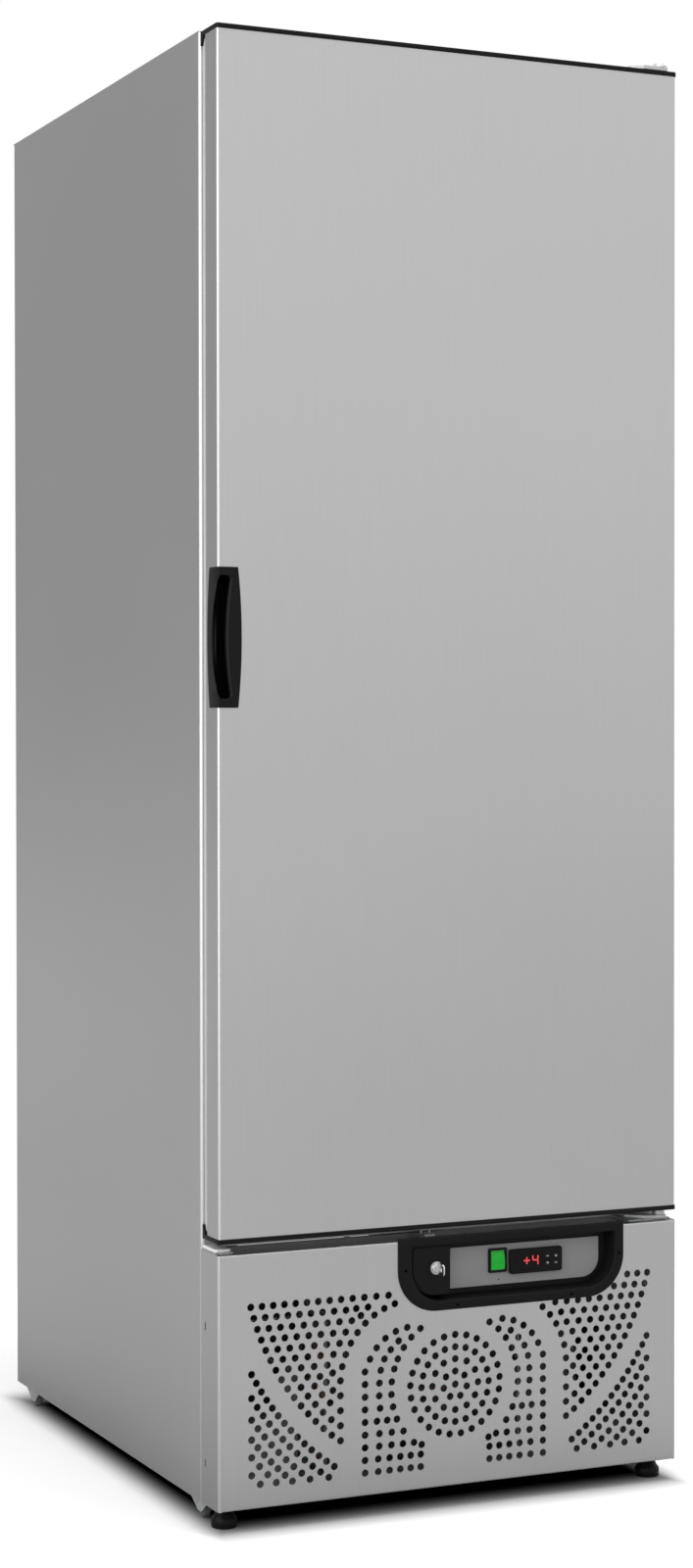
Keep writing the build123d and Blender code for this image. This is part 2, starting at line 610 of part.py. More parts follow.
with BuildPart() as rocker:
    with BuildSketch(side_plane(ROCKER_X)):
        with Locations((y_at(ROCKER_PIVOT), ROCKER_Z)):
            Circle(ROCKER_RADIUS)
            Polygon((-ROCKER_CROWN, 0), (-ROCKER_SHOULDER, ROCKER_REACH), (ROCKER_HEEL, ROCKER_REACH),
                    (ROCKER_HEEL, -ROCKER_REACH), (-ROCKER_SHOULDER, -ROCKER_REACH),
                    rotation=-ROCKER_TILT, align=None, mode=Mode.INTERSECT)
    extrude(amount=ROCKER_WIDTH / 2, both=True)
rocker.part.label = "rocker"
export_step(rocker.part, "parts/rocker.step")

# Thermostat: a framed housing through the fascia, a smoked lens and four small buttons
HOUSING_FACE = 12
LENS_WIDTH = 46
LENS_HEIGHT = 24
LENS_X = THERMOSTAT_X - 13
BUTTON_X = (THERMOSTAT_X + 17, THERMOSTAT_X + 30)
BUTTON_Z = (THERMOSTAT_Z + 5, THERMOSTAT_Z - 5)
BUTTON_WIDTH = 9
BUTTON_HEIGHT = 6
BUTTON_FIT = 0.6
BUTTON_LENGTH = 4
BUTTON_SUNK = -1  # the buttons stand 1 mm proud of the housing
BUTTON_WELL = 5
BUTTON_CHAMFER = 0.5
LENS_THICK = 2
LENS_CHAMFER = 0.6
HOUSING_CHAMFER = 2.5
THERMOSTAT_BACK = 58
with BuildPart() as thermostat_housing:
    with BuildSketch(front_plane(HOUSING_FACE)):
        with Locations((THERMOSTAT_X, THERMOSTAT_Z)):
            Rectangle(THERMOSTAT_WIDTH, THERMOSTAT_HEIGHT)
        chamfer(vertices(), HOUSING_CHAMFER)
    extrude(amount=HOUSING_FACE - FASCIA_FACE)
    with BuildSketch(front_plane(FASCIA_FACE)):
        with Locations((THERMOSTAT_X, THERMOSTAT_Z)):
            Rectangle(BODY_CUT_WIDTH, BODY_CUT_HEIGHT)
    extrude(amount=FASCIA_FACE - THERMOSTAT_BACK)
    with BuildSketch(front_plane(HOUSING_FACE)):
        with Locations((LENS_X, THERMOSTAT_Z)):
            Rectangle(LENS_WIDTH, LENS_HEIGHT)
    extrude(amount=-LENS_THICK, mode=Mode.SUBTRACT)
    with BuildSketch(front_plane(HOUSING_FACE)):
        with Locations(*((x, z) for x in BUTTON_X for z in BUTTON_Z)):
            Rectangle(BUTTON_WIDTH + BUTTON_FIT, BUTTON_HEIGHT + BUTTON_FIT)
    extrude(amount=-BUTTON_WELL, mode=Mode.SUBTRACT)
thermostat_housing.part.label = "thermostat_housing"
export_step(thermostat_housing.part, "parts/thermostat_housing.step")

with BuildPart() as thermostat_lens:
    with BuildSketch(front_plane(HOUSING_FACE)):
        with Locations((LENS_X, THERMOSTAT_Z)):
            Rectangle(LENS_WIDTH, LENS_HEIGHT)
    extrude(amount=-LENS_THICK)
    chamfer(thermostat_lens.faces().sort_by(Axis.Y)[0].edges(), LENS_CHAMFER)
thermostat_lens.part.label = "thermostat_lens"
export_step(thermostat_lens.part, "parts/thermostat_lens.step")

BUTTONS = (("button_set", 0, 0), ("button_up", 0, 1),
           ("button_down", 1, 0), ("button_defrost", 1, 1))
for name, row, column in BUTTONS:
    with BuildPart() as button:
        with BuildSketch(front_plane(HOUSING_FACE + BUTTON_SUNK)):
            with Locations((BUTTON_X[column], BUTTON_Z[row])):
                Rectangle(BUTTON_WIDTH, BUTTON_HEIGHT)
        extrude(amount=-BUTTON_LENGTH)
        chamfer(button.faces().sort_by(Axis.Y)[0].edges(), BUTTON_CHAMFER)
    button.part.label = name
    export_step(button.part, f"parts/{name}.step")

# Door: a folded outer sheet, foam, an embossed inner liner, two end caps and a seal
HANDLE_LOW = 1096.5
HANDLE_HIGH = 1282.5
HANDLE_MIDDLE = (HANDLE_LOW + HANDLE_HIGH) / 2
POCKET_WIDTH = 45  # the handle's cup inside the door, from the door's left side
POCKET_MARGIN = 4
CUP_BACK = 41
CUP_WALL = 2.5
HANDLE_CUT_FRONT = 24  # the sheet's cut-out for the handle, along the door's front and side
HANDLE_CUT_SIDE = 26
BACK_FOLD = 15
SKIN_LOW = DOOR_LOW + CAP
SKIN_HIGH = DOOR_HIGH - CAP


def handle_pocket(depth):
    """Cuts room for the handle's cup from the door's left edge."""
    block(-HALF - 1, -DOOR_HALF + POCKET_WIDTH, -1, depth,
          HANDLE_LOW + POCKET_MARGIN, HANDLE_HIGH - POCKET_MARGIN, mode=Mode.SUBTRACT)


with BuildPart() as door_skin:
    with BuildSketch(Plane.XY.offset(SKIN_LOW)):
        with Locations((0, y_at(DOOR_DEPTH / 2))):
            Rectangle(2 * DOOR_HALF, DOOR_DEPTH)
            Rectangle(2 * (DOOR_HALF - SHEET), DOOR_DEPTH - 2 * SHEET, mode=Mode.SUBTRACT)
        with Locations((0, y_at(DOOR_DEPTH))):
            Rectangle(2 * (DOOR_HALF - BACK_FOLD), 4 * SHEET, mode=Mode.SUBTRACT)
    extrude(amount=SKIN_HIGH - SKIN_LOW)
    block(-HALF - 1, -DOOR_HALF + HANDLE_CUT_FRONT, -1, HANDLE_CUT_SIDE, HANDLE_LOW + POCKET_MARGIN,
          HANDLE_HIGH - POCKET_MARGIN, mode=Mode.SUBTRACT)
door_skin.part.label = "door_skin"
export_step(door_skin.part, "parts/door_skin.step")

BUSH_RADIUS = 8
BUSH_DEPTH = 20
FOAM_BACK = DOOR_DEPTH - 2 * SHEET
with BuildPart() as door_foam:
    block(-DOOR_HALF + SHEET, DOOR_HALF - SHEET, SHEET, FOAM_BACK, SKIN_LOW, SKIN_HIGH)
    handle_pocket(CUP_BACK)
    for low in (SKIN_LOW, DOOR_HIGH - BUSH_DEPTH):
        with BuildSketch(Plane.XY.offset(low)):
            with Locations((HINGE_X, y_at(HINGE_DEPTH))):
                RegularPolygon(BUSH_RADIUS, FEW_SIDES)
        extrude(amount=BUSH_DEPTH - CAP, mode=Mode.SUBTRACT)
door_foam.part.label = "door_foam"
export_step(door_foam.part, "parts/door_foam.step")

# The inner liner has a drafted plug that stands into the chamber's mouth
PLUG_HALF = 274
PLUG_LOW = 455
PLUG_HIGH = 1922
PLUG_FACE = 57
PLUG_DRAFT = 25
PLUG_INSET = 2
PLUG_SHEET = 1.5
with BuildPart() as door_liner:
    block(-DOOR_HALF + SHEET, DOOR_HALF - SHEET, FOAM_BACK, FOAM_BACK + SHEET, SKIN_LOW, SKIN_HIGH)
    with BuildSketch(front_plane(FOAM_BACK)):
        pane(-PLUG_HALF, PLUG_HALF, PLUG_LOW, PLUG_HIGH)
    extrude(amount=FOAM_BACK - PLUG_FACE, taper=PLUG_DRAFT)
    with BuildSketch(front_plane(FOAM_BACK)):
        pane(-PLUG_HALF + PLUG_INSET, PLUG_HALF - PLUG_INSET, PLUG_LOW + PLUG_INSET,
             PLUG_HIGH - PLUG_INSET)
    extrude(amount=FOAM_BACK - PLUG_FACE + PLUG_SHEET, taper=PLUG_DRAFT, mode=Mode.SUBTRACT)
door_liner.part.label = "door_liner"
export_step(door_liner.part, "parts/door_liner.step")

# End caps: black strips proud of the sheet, with a small tab down each rear corner
CAP_PROUD = 1.5
CAP_CORNER = 2
TAB = 13
TAB_DEPTH = 7
STRIKE_WIDTH = 26
STRIKE_DEPTH = 9
DOOR_CAPS = (("door_cap_top", SKIN_HIGH, SKIN_HIGH - TAB), ("door_cap_bottom", DOOR_LOW, SKIN_LOW))
for name, low, tab_low in DOOR_CAPS:
    with BuildPart() as door_cap:
        block(-HALF, HALF, -CAP_PROUD, DOOR_DEPTH, low, low + CAP)
        chamfer(door_cap.edges().filter_by(Axis.Z).group_by(Axis.Y)[0], CAP_CORNER)
        for side in (-1, 1):
            inner, outer = sorted((side * DOOR_HALF, side * HALF))
            block(inner, outer, DOOR_DEPTH - TAB_DEPTH, DOOR_DEPTH, tab_low, tab_low + TAB)
        with BuildSketch(Plane.XY.offset(low)):
            with Locations((HINGE_X, y_at(HINGE_DEPTH))):
                RegularPolygon(BUSH_RADIUS, FEW_SIDES)
        extrude(amount=CAP, mode=Mode.SUBTRACT)
        if name == "door_cap_bottom":
            block(BOLT_X - STRIKE_WIDTH / 2, BOLT_X + STRIKE_WIDTH / 2, BOLT_DEPTH - STRIKE_DEPTH / 2,
                  BOLT_DEPTH + STRIKE_DEPTH / 2, low - 1, low + CAP + 1, mode=Mode.SUBTRACT)
    door_cap.part.label = name
    export_step(door_cap.part, f"parts/{name}.step")

# Magnetic door seal: a foot in the liner, a thin bellows and a broad head
SEAL_HALF = 332
SEAL_LOW = 401
SEAL_HIGH = 1980
SEAL_GAP = 0.5
SEAL_WIDTH = 24
SEAL_RINGS = ((DOOR_DEPTH, 49, 0, SEAL_WIDTH), (49, 55, 6, 12), (55, BODY_FRONT - SEAL_GAP, 1, 22))
with BuildPart() as door_gasket:
    for near, far, inset, width in SEAL_RINGS:
        with BuildSketch(front_plane(far)):
            pane(-SEAL_HALF + inset, SEAL_HALF - inset, SEAL_LOW + inset, SEAL_HIGH - inset)
            pane(-SEAL_HALF + inset + width, SEAL_HALF - inset - width,
                 SEAL_LOW + inset + width, SEAL_HIGH - inset - width, mode=Mode.SUBTRACT)
        extrude(amount=far - near)
door_gasket.part.label = "door_gasket"
export_step(door_gasket.part, "parts/door_gasket.step")

# Handle: a moulded cup that wraps the door's left edge, with bowed lips
LIP_FRONT_END = 30
LIP_FRONT_MIDDLE = 35
LIP_SIDE_END = 30
LIP_SIDE_MIDDLE = 38
MOUTH_FRONT_END = 19
MOUTH_FRONT_MIDDLE = 12
MOUTH_SIDE_END = 19
MOUTH_SIDE_MIDDLE = 23
HANDLE_PROUD = 2
MOUTH_LOW = HANDLE_LOW + 12
MOUTH_HIGH = HANDLE_HIGH - 11
LIP_THICK = 4


def bowed_face(near, end, middle, low, high):
    """An outline with three straight sides and one that bows, made on the handle's planes."""
    with BuildLine() as outline:
        Polyline((end, low), (near, low), (near, high), (end, high))
        ThreePointArc((end, high), (middle, (low + high) / 2), (end, low))
    make_face(outline.edges())


with BuildPart() as door_handle:
    with BuildSketch(front_plane(-HANDLE_PROUD)):
        bowed_face(-HALF, -HALF + LIP_FRONT_END, -HALF + LIP_FRONT_MIDDLE, HANDLE_LOW, HANDLE_HIGH)
    extrude(amount=-HANDLE_PROUD)
    with BuildSketch(side_plane(-HALF)):
        bowed_face(y_at(-HANDLE_PROUD), y_at(LIP_SIDE_END), y_at(LIP_SIDE_MIDDLE), HANDLE_LOW, HANDLE_HIGH)
    extrude(amount=HANDLE_PROUD)
    block(-DOOR_HALF, -DOOR_HALF + HANDLE_CUT_FRONT, 0, HANDLE_CUT_SIDE, HANDLE_LOW + POCKET_MARGIN,
          HANDLE_HIGH - POCKET_MARGIN)
    block(-DOOR_HALF + SHEET, -DOOR_HALF + POCKET_WIDTH, SHEET, CUP_BACK,
          HANDLE_LOW + POCKET_MARGIN, HANDLE_HIGH - POCKET_MARGIN)
    with BuildSketch(front_plane(-HANDLE_PROUD)):
        bowed_face(-HALF - 5, -HALF + MOUTH_FRONT_END, -HALF + MOUTH_FRONT_MIDDLE, MOUTH_LOW, MOUTH_HIGH)
    extrude(amount=-HANDLE_PROUD - MOUTH_SIDE_END, mode=Mode.SUBTRACT)
    with BuildSketch(side_plane(-HALF)):
        bowed_face(y_at(-5), y_at(MOUTH_SIDE_END), y_at(MOUTH_SIDE_MIDDLE), MOUTH_LOW, MOUTH_HIGH)
    extrude(amount=MOUTH_FRONT_MIDDLE, mode=Mode.SUBTRACT)
    block(-HALF + HANDLE_PROUD + LIP_THICK, -DOOR_HALF + POCKET_WIDTH - CUP_WALL, LIP_THICK,
          CUP_BACK - CUP_WALL, MOUTH_LOW, MOUTH_HIGH, mode=Mode.SUBTRACT)
door_handle.part.label = "door_handle"
export_step(door_handle.part, "parts/door_handle.step")

# Hinges: bent plates from the casing, each with a pin in a bush of the door
PIN = 5
PIN_FIT = 0.08
PIN_LENGTH = 18
PLATE = 3
HINGE_EYE = 13
NUT_RADIUS = 10
NUT_HEIGHT = 10
TOP_PLATE = ((-52, 118), (12, 118), (12, HINGE_DEPTH), (-HINGE_EYE, HINGE_DEPTH), (-18, 58),
             (-52, 72))  # corners from the pin to the right, and behind the door's front
with BuildPart() as top_hinge:
    with BuildSketch(Plane.XY.offset(HEIGHT)):
        with BuildLine():
            Polyline(*((HINGE_X + across, y_at(depth)) for across, depth in TOP_PLATE), close=True)
        make_face()
        with Locations((HINGE_X, y_at(HINGE_DEPTH))):
            RegularPolygon(HINGE_EYE, SIDES)
    extrude(amount=PLATE)
    with BuildSketch(Plane.XY.offset(HEIGHT + PLATE)):
        with Locations((HINGE_X, y_at(HINGE_DEPTH))):
            RegularPolygon(NUT_RADIUS, 6)
    extrude(amount=NUT_HEIGHT)
    with BuildSketch(Plane.XY.offset(HEIGHT)):
        with Locations((HINGE_X, y_at(HINGE_DEPTH))):
            RegularPolygon(PIN, SIDES)
    extrude(amount=DOOR_HIGH - HEIGHT - PIN_LENGTH)
top_hinge.part.label = "top_hinge"
export_step(top_hinge.part, "parts/top_hinge.step")

LOWER_PLATE = 373  # underside of the lower hinge plate, just above the panel's top fold
LOWER_EYE = 12
LOWER_COLLAR = 7
LOWER_COLLAR_HIGH = DOOR_LOW - 0.5
BOTTOM_PLATE = ((-46, BODY_FRONT), (12, BODY_FRONT), (12, HINGE_DEPTH), (-LOWER_EYE, HINGE_DEPTH),
                (-22, 42), (-46, 48))
with BuildPart() as bottom_hinge:
    with BuildSketch(Plane.XY.offset(LOWER_PLATE)):
        with BuildLine():
            Polyline(*((HINGE_X + across, y_at(depth)) for across, depth in BOTTOM_PLATE), close=True)
        make_face()
        with Locations((HINGE_X, y_at(HINGE_DEPTH))):
            RegularPolygon(LOWER_EYE, SIDES)
    extrude(amount=PLATE)
    with BuildSketch(Plane.XY.offset(LOWER_PLATE + PLATE)):
        with Locations((HINGE_X, y_at(HINGE_DEPTH))):
            RegularPolygon(LOWER_COLLAR, SIDES)
    extrude(amount=LOWER_COLLAR_HIGH - LOWER_PLATE - PLATE)
    with BuildSketch(Plane.XY.offset(LOWER_PLATE + PLATE)):
        with Locations((HINGE_X, y_at(HINGE_DEPTH))):
            RegularPolygon(PIN, SIDES)
    extrude(amount=DOOR_LOW - LOWER_PLATE - PLATE + PIN_LENGTH)
bottom_hinge.part.label = "bottom_hinge"
export_step(bottom_hinge.part, "parts/bottom_hinge.step")

# Hinge mounts: angle pieces under the lower front edge, one of them spare for a left-hung door
MOUNT_LOW = 330
MOUNT_EDGE = HALF - SHEET - 0.2
MOUNT_FRONT = 14
BLANK_MOUNT = (-MOUNT_EDGE, -HALF + BLANK_NOTCH - 1)
HINGE_MOUNT = (HALF - HINGE_NOTCH + 3, MOUNT_EDGE)
with BuildPart() as hinge_mounts:
    for left, right in (BLANK_MOUNT, HINGE_MOUNT):
        with BuildSketch(side_plane(left)):
            with BuildLine():
                Polyline((y_at(BODY_FRONT), MOUNT_LOW), (y_at(BODY_FRONT), LOWER_PLATE),
                         (y_at(MOUNT_FRONT), LOWER_PLATE), (y_at(MOUNT_FRONT), LOWER_PLATE - PLATE),
                         (y_at(BODY_FRONT - PLATE), LOWER_PLATE - PLATE),
                         (y_at(BODY_FRONT - PLATE), MOUNT_LOW), close=True)
            make_face()
        extrude(amount=right - left)
hinge_mounts.part.label = "hinge_mounts"
export_step(hinge_mounts.part, "parts/hinge_mounts.step")

with BuildPart() as hinge_bushes:
    for low in (DOOR_LOW, DOOR_HIGH - BUSH_DEPTH):
        with BuildSketch(Plane.XY.offset(low)):
            with Locations((HINGE_X, y_at(HINGE_DEPTH))):
                RegularPolygon(BUSH_RADIUS, FEW_SIDES)
                RegularPolygon(PIN + PIN_FIT, SIDES, major_radius=False, mode=Mode.SUBTRACT)
        extrude(amount=BUSH_DEPTH)
hinge_bushes.part.label = "hinge_bushes"
export_step(hinge_bushes.part, "parts/hinge_bushes.step")

# Shelving: four slotted posts, clips hooked into them and three wire shelves
POST_FACE = CAVITY_HALF - LINER
POST_DEPTHS = (130, 700)
POST_LOW = 460
POST_HIGH = 1730
POST_HALF = 12
POST_REACH = 10
POST_SHEET = 2
SHELF_LEVELS = (720, 1060, 1400)
SHELF_HALF = 265
SHELF_FRONT = 95
SHELF_BACK = 745
SHELF_THICK = 8
with BuildPart() as shelf_posts:
    for side in (-1, 1):
        for depth in POST_DEPTHS:
            face = side * POST_FACE
            web = side * (POST_FACE - POST_REACH)
            slot = POST_HALF - POST_SHEET
            with BuildSketch(Plane.XY.offset(POST_LOW)):
                with BuildLine():
                    Polyline((face, y_at(depth - POST_HALF)), (web, y_at(depth - POST_HALF)),
                             (web, y_at(depth + POST_HALF)), (face, y_at(depth + POST_HALF)),
                             (face, y_at(depth + slot)), (web + side * POST_SHEET, y_at(depth + slot)),
                             (web + side * POST_SHEET, y_at(depth - slot)), (face, y_at(depth - slot)),
                             close=True)
                make_face()
            extrude(amount=POST_HIGH - POST_LOW)
shelf_posts.part.label = "shelf_posts"
export_step(shelf_posts.part, "parts/shelf_posts.step")

CLIP_ROOT = POST_FACE - POST_REACH
CLIP_TIP = CLIP_ROOT - 24
CLIP_NOSE = 4
CLIP_HEIGHT = 22
CLIP_HALF = 8
with BuildPart() as shelf_clips:
    for level in SHELF_LEVELS:
        for side in (-1, 1):
            for depth in POST_DEPTHS:
                with BuildSketch(front_plane(depth + CLIP_HALF)):
                    with BuildLine():
                        Polyline((side * CLIP_ROOT, level), (side * CLIP_TIP, level),
                                 (side * CLIP_TIP, level - CLIP_NOSE),
                                 (side * CLIP_ROOT, level - CLIP_HEIGHT), close=True)
                    make_face()
                extrude(amount=2 * CLIP_HALF)
shelf_clips.part.label = "shelf_clips"
export_step(shelf_clips.part, "parts/shelf_clips.step")

SHELF_GAPS = 9
SHELF_PITCH = 58
SHELF_BAR = 6
SHELF_RAIL = 8
for number, level in enumerate(SHELF_LEVELS, start=1):
    with BuildPart() as shelf:
        with BuildSketch(Plane.XY.offset(level)):
            with Locations((0, y_at((SHELF_FRONT + SHELF_BACK) / 2))):
                Rectangle(2 * SHELF_HALF, SHELF_BACK - SHELF_FRONT)
                with GridLocations(SHELF_PITCH, 0, SHELF_GAPS, 1):
                    Rectangle(SHELF_PITCH - SHELF_BAR, SHELF_BACK - SHELF_FRONT - 2 * SHELF_RAIL,
                              mode=Mode.SUBTRACT)
        extrude(amount=SHELF_THICK)
    shelf.part.label = f"shelf_{number}"
    export_step(shelf.part, f"parts/shelf_{number}.step")

# Evaporator under the chamber's ceiling: a finned coil, a hanging cover and a fan
CEILING = CAVITY_HIGH - LINER
COVER_HALF = 268
COVER_LOW = 1760
COVER_FRONT = 440
COVER_BACK = 800
COVER_SHEET = 1.5
COVER_RISE = 10  # the cover's floor falls this much towards the back
BLADE = 2  # thickness of a fan blade
FAN_X = 0
FAN_Z = 1850
FAN_MOUTH = 78
FAN_RADIUS = 70
MOTOR_FRONT = 496
MOTOR_BACK = 524
MOTOR_HALF_WIDTH = 35
MOTOR_HALF_HEIGHT = 30
ARM_BACK = 521
ARM_REACH = 98
ARM_SHEET = 3
ARM_HALF = 8
with BuildPart() as evaporator_cover:
    with BuildSketch(side_plane(-COVER_HALF)):
        with BuildLine():
            Polyline((y_at(COVER_FRONT), COVER_LOW + COVER_RISE), (y_at(COVER_FRONT), CEILING),
                     (y_at(COVER_FRONT + COVER_SHEET), CEILING),
                     (y_at(COVER_FRONT + COVER_SHEET), COVER_LOW + COVER_RISE + COVER_SHEET),
                     (y_at(COVER_BACK), COVER_LOW + COVER_SHEET), (y_at(COVER_BACK), COVER_LOW), close=True)
        make_face()
    extrude(amount=2 * COVER_HALF)
    for side in (-1, 1):
        with BuildSketch(side_plane(side * COVER_HALF)):
            with BuildLine():
                Polyline((y_at(COVER_FRONT), COVER_LOW + COVER_RISE), (y_at(COVER_FRONT), CEILING),
                         (y_at(COVER_BACK), CEILING), (y_at(COVER_BACK), COVER_LOW), close=True)
            make_face()
        extrude(amount=-side * COVER_SHEET)
    with BuildSketch(front_plane(COVER_FRONT)):
        with Locations((FAN_X, FAN_Z)):
            RegularPolygon(FAN_MOUTH, SIDES)
    extrude(amount=-COVER_SHEET, mode=Mode.SUBTRACT)
    block(-MOTOR_HALF_WIDTH, MOTOR_HALF_WIDTH, MOTOR_FRONT, MOTOR_BACK,
          FAN_Z - MOTOR_HALF_HEIGHT, FAN_Z + MOTOR_HALF_HEIGHT)
    arm_low, arm_high = FAN_Z - ARM_HALF, FAN_Z + ARM_HALF
    block(-ARM_REACH, ARM_REACH, ARM_BACK - ARM_SHEET, ARM_BACK, arm_low, arm_high)
    for inner, outer in ((-ARM_REACH, ARM_SHEET - ARM_REACH), (ARM_REACH - ARM_SHEET, ARM_REACH)):
        block(inner, outer, COVER_FRONT + COVER_SHEET, ARM_BACK, arm_low, arm_high)
evaporator_cover.part.label = "evaporator_cover"
export_step(evaporator_cover.part, "parts/evaporator_cover.step")

FINS = 10
SPINE_HALF = 2


def fin_comb(x0, x1, back, front, fins):
    """Plan outline of a coil: a spine with a row of fins, closed by end plates."""
    pitch = (x1 - x0) / fins
    spine = (back + front) / 2
    points = []
    for i in range(fins):
        start = x0 + i * pitch
        points += [(start, y_at(front)), (start + pitch / 3, y_at(front))]
        points += [(start + pitch / 3, y_at(spine - SPINE_HALF)), (start + pitch, y_at(spine - SPINE_HALF))]
    points += [(x1, y_at(front)), (x1 + pitch / 3, y_at(front)), (x1 + pitch / 3, y_at(back))]
    points += [(x1, y_at(back)), (x1, y_at(spine + SPINE_HALF))]
    points += [(x0, y_at(spine + SPINE_HALF)), (x0, y_at(back))]
    points += [(x0 - pitch / 3, y_at(back)), (x0 - pitch / 3, y_at(front))]
    with BuildLine() as outline:
        Polyline(*points, close=True)
    make_face(outline.edges())


COIL_HALF = 240
COIL_FRONT = 600
COIL_BACK = 770
COIL_LOW = COVER_LOW + 30
COIL_HEIGHT = 130
with BuildPart() as evaporator_coil:
    with BuildSketch(Plane.XY.offset(COIL_LOW)):
        fin_comb(-COIL_HALF, COIL_HALF, COIL_BACK, COIL_FRONT, FINS)
    extrude(amount=COIL_HEIGHT)
evaporator_coil.part.label = "evaporator_coil"
export_step(evaporator_coil.part, "parts/evaporator_coil.step")


def fan_blades(x, z, hub, radius, depth, width, pitch, blades):
    """Pitched blades, each a plate that broadens from its root to a clipped tip."""
    lean = math.radians(pitch)
    for i in range(blades):
        turn = math.radians(360 * i / blades)
        spoke = Vector(math.cos(turn), 0, math.sin(turn))
        chord = Vector(-math.sin(turn) * math.cos(lean), math.sin(lean), math.cos(turn) * math.cos(lean))
        centre = Vector(x, y_at(depth), z)
        with BuildSketch(Plane(origin=centre, x_dir=spoke, z_dir=spoke.cross(chord))) as blade:
            with BuildLine() as outline:
                Polyline((hub - 3, -width * 0.3), (radius - 3, -width / 2), (radius, -width / 5),
                         (radius, width / 4), (radius - 8, width / 2), (hub - 3, width * 0.3), close=True)
            make_face(outline.edges())
        extrude(blade.sketch, amount=BLADE / 2, both=True)


BLADES = 5
FAN_HUB = 24
FAN_HUB_FRONT = 470
FAN_HUB_LENGTH = 24
FAN_BLADE_DEPTH = 482
FAN_BLADE_WIDTH = 34
FAN_BLADE_PITCH = 28
with BuildPart() as evaporator_fan:
    with BuildSketch(front_plane(FAN_HUB_FRONT)):
        with Locations((FAN_X, FAN_Z)):
            RegularPolygon(FAN_HUB, SIDES)
    extrude(amount=-FAN_HUB_LENGTH)
    fan_blades(FAN_X, FAN_Z, FAN_HUB, FAN_RADIUS, FAN_BLADE_DEPTH, FAN_BLADE_WIDTH, FAN_BLADE_PITCH, BLADES)
evaporator_fan.part.label = "evaporator_fan"
export_step(evaporator_fan.part, "parts/evaporator_fan.step")

# Interior lamp behind the front frame, under the ceiling
LAMP_HALF = 160
LAMP_FRONT = 90
LAMP_BACK = 114
LAMP_HEIGHT = 14
LAMP_CHAMFER = 5
with BuildPart() as interior_lamp:
    block(-LAMP_HALF, LAMP_HALF, LAMP_FRONT, LAMP_BACK, CEILING - LAMP_HEIGHT, CEILING)
    chamfer(interior_lamp.faces().sort_by(Axis.Z)[0].edges().filter_by(Axis.X), LAMP_CHAMFER)
interior_lamp.part.label = "interior_lamp"
export_step(interior_lamp.part, "parts/interior_lamp.step")

# Condensing unit in the base: condenser, fan, compressor, pipes and trays
CONDENSER_LOW = 42
CONDENSER_HIGH = 262
CONDENSER_HALF = 150
CONDENSER_FRONT = 100
CONDENSER_BACK = 160
SHROUD_HALF = 160
SHROUD_TOP = 272
UNIT_Z = 152
UNIT_MOUTH = 104
SHROUD_FRONT = 164
SHROUD_BACK = 176
UNIT_MOTOR_HALF = 30
UNIT_MOTOR_FRONT = 226
UNIT_MOTOR_BACK = 276
BRACKET_X = 115
BRACKET_BACK = 256
BRACKET_HALF = 6
BRACKET_SHEET = 6
with BuildPart() as condenser:
    with BuildSketch(Plane.XY.offset(CONDENSER_LOW)):
        fin_comb(-CONDENSER_HALF, CONDENSER_HALF, CONDENSER_BACK, CONDENSER_FRONT, FINS)
    extrude(amount=CONDENSER_HIGH - CONDENSER_LOW)
condenser.part.label = "condenser"
export_step(condenser.part, "parts/condenser.step")

with BuildPart() as condenser_shroud:
    with BuildSketch(front_plane(SHROUD_BACK)):
        pane(-SHROUD_HALF, SHROUD_HALF, FLOOR_GAP + TRAY_SHEET, SHROUD_TOP)
        with Locations((0, UNIT_Z)):
            RegularPolygon(UNIT_MOUTH, SIDES, mode=Mode.SUBTRACT)
    extrude(amount=SHROUD_BACK - SHROUD_FRONT)
    block(-UNIT_MOTOR_HALF, UNIT_MOTOR_HALF, UNIT_MOTOR_FRONT, UNIT_MOTOR_BACK,
          UNIT_Z - UNIT_MOTOR_HALF, UNIT_Z + UNIT_MOTOR_HALF)
    bracket_low, bracket_high = UNIT_Z - BRACKET_HALF, UNIT_Z + BRACKET_HALF
    for side in (-1, 1):
        middle = side * BRACKET_X
        block(middle - BRACKET_HALF, middle + BRACKET_HALF, SHROUD_BACK, BRACKET_BACK,
              bracket_low, bracket_high)
        inner, outer = sorted((side * UNIT_MOTOR_HALF, middle + side * BRACKET_HALF))
        block(inner, outer, BRACKET_BACK - BRACKET_SHEET, BRACKET_BACK, bracket_low, bracket_high)
condenser_shroud.part.label = "condenser_shroud"
export_step(condenser_shroud.part, "parts/condenser_shroud.step")

UNIT_HUB = 30
UNIT_HUB_FRONT = 196
UNIT_HUB_LENGTH = 28
UNIT_FAN_RADIUS = 96
UNIT_BLADE_DEPTH = 210
UNIT_BLADE_WIDTH = 52
UNIT_BLADE_PITCH = 26
with BuildPart() as condenser_fan:
    with BuildSketch(front_plane(UNIT_HUB_FRONT)):
        with Locations((0, UNIT_Z)):
            RegularPolygon(UNIT_HUB, SIDES)
    extrude(amount=-UNIT_HUB_LENGTH)
    fan_blades(0, UNIT_Z, UNIT_HUB, UNIT_FAN_RADIUS, UNIT_BLADE_DEPTH, UNIT_BLADE_WIDTH, UNIT_BLADE_PITCH,
               BLADES)
condenser_fan.part.label = "condenser_fan"
export_step(condenser_fan.part, "parts/condenser_fan.step")

COMPRESSOR_X = 150
COMPRESSOR_DEPTH = 560
COMPRESSOR_LOW = 52
COMPRESSOR_RADIUS = 92
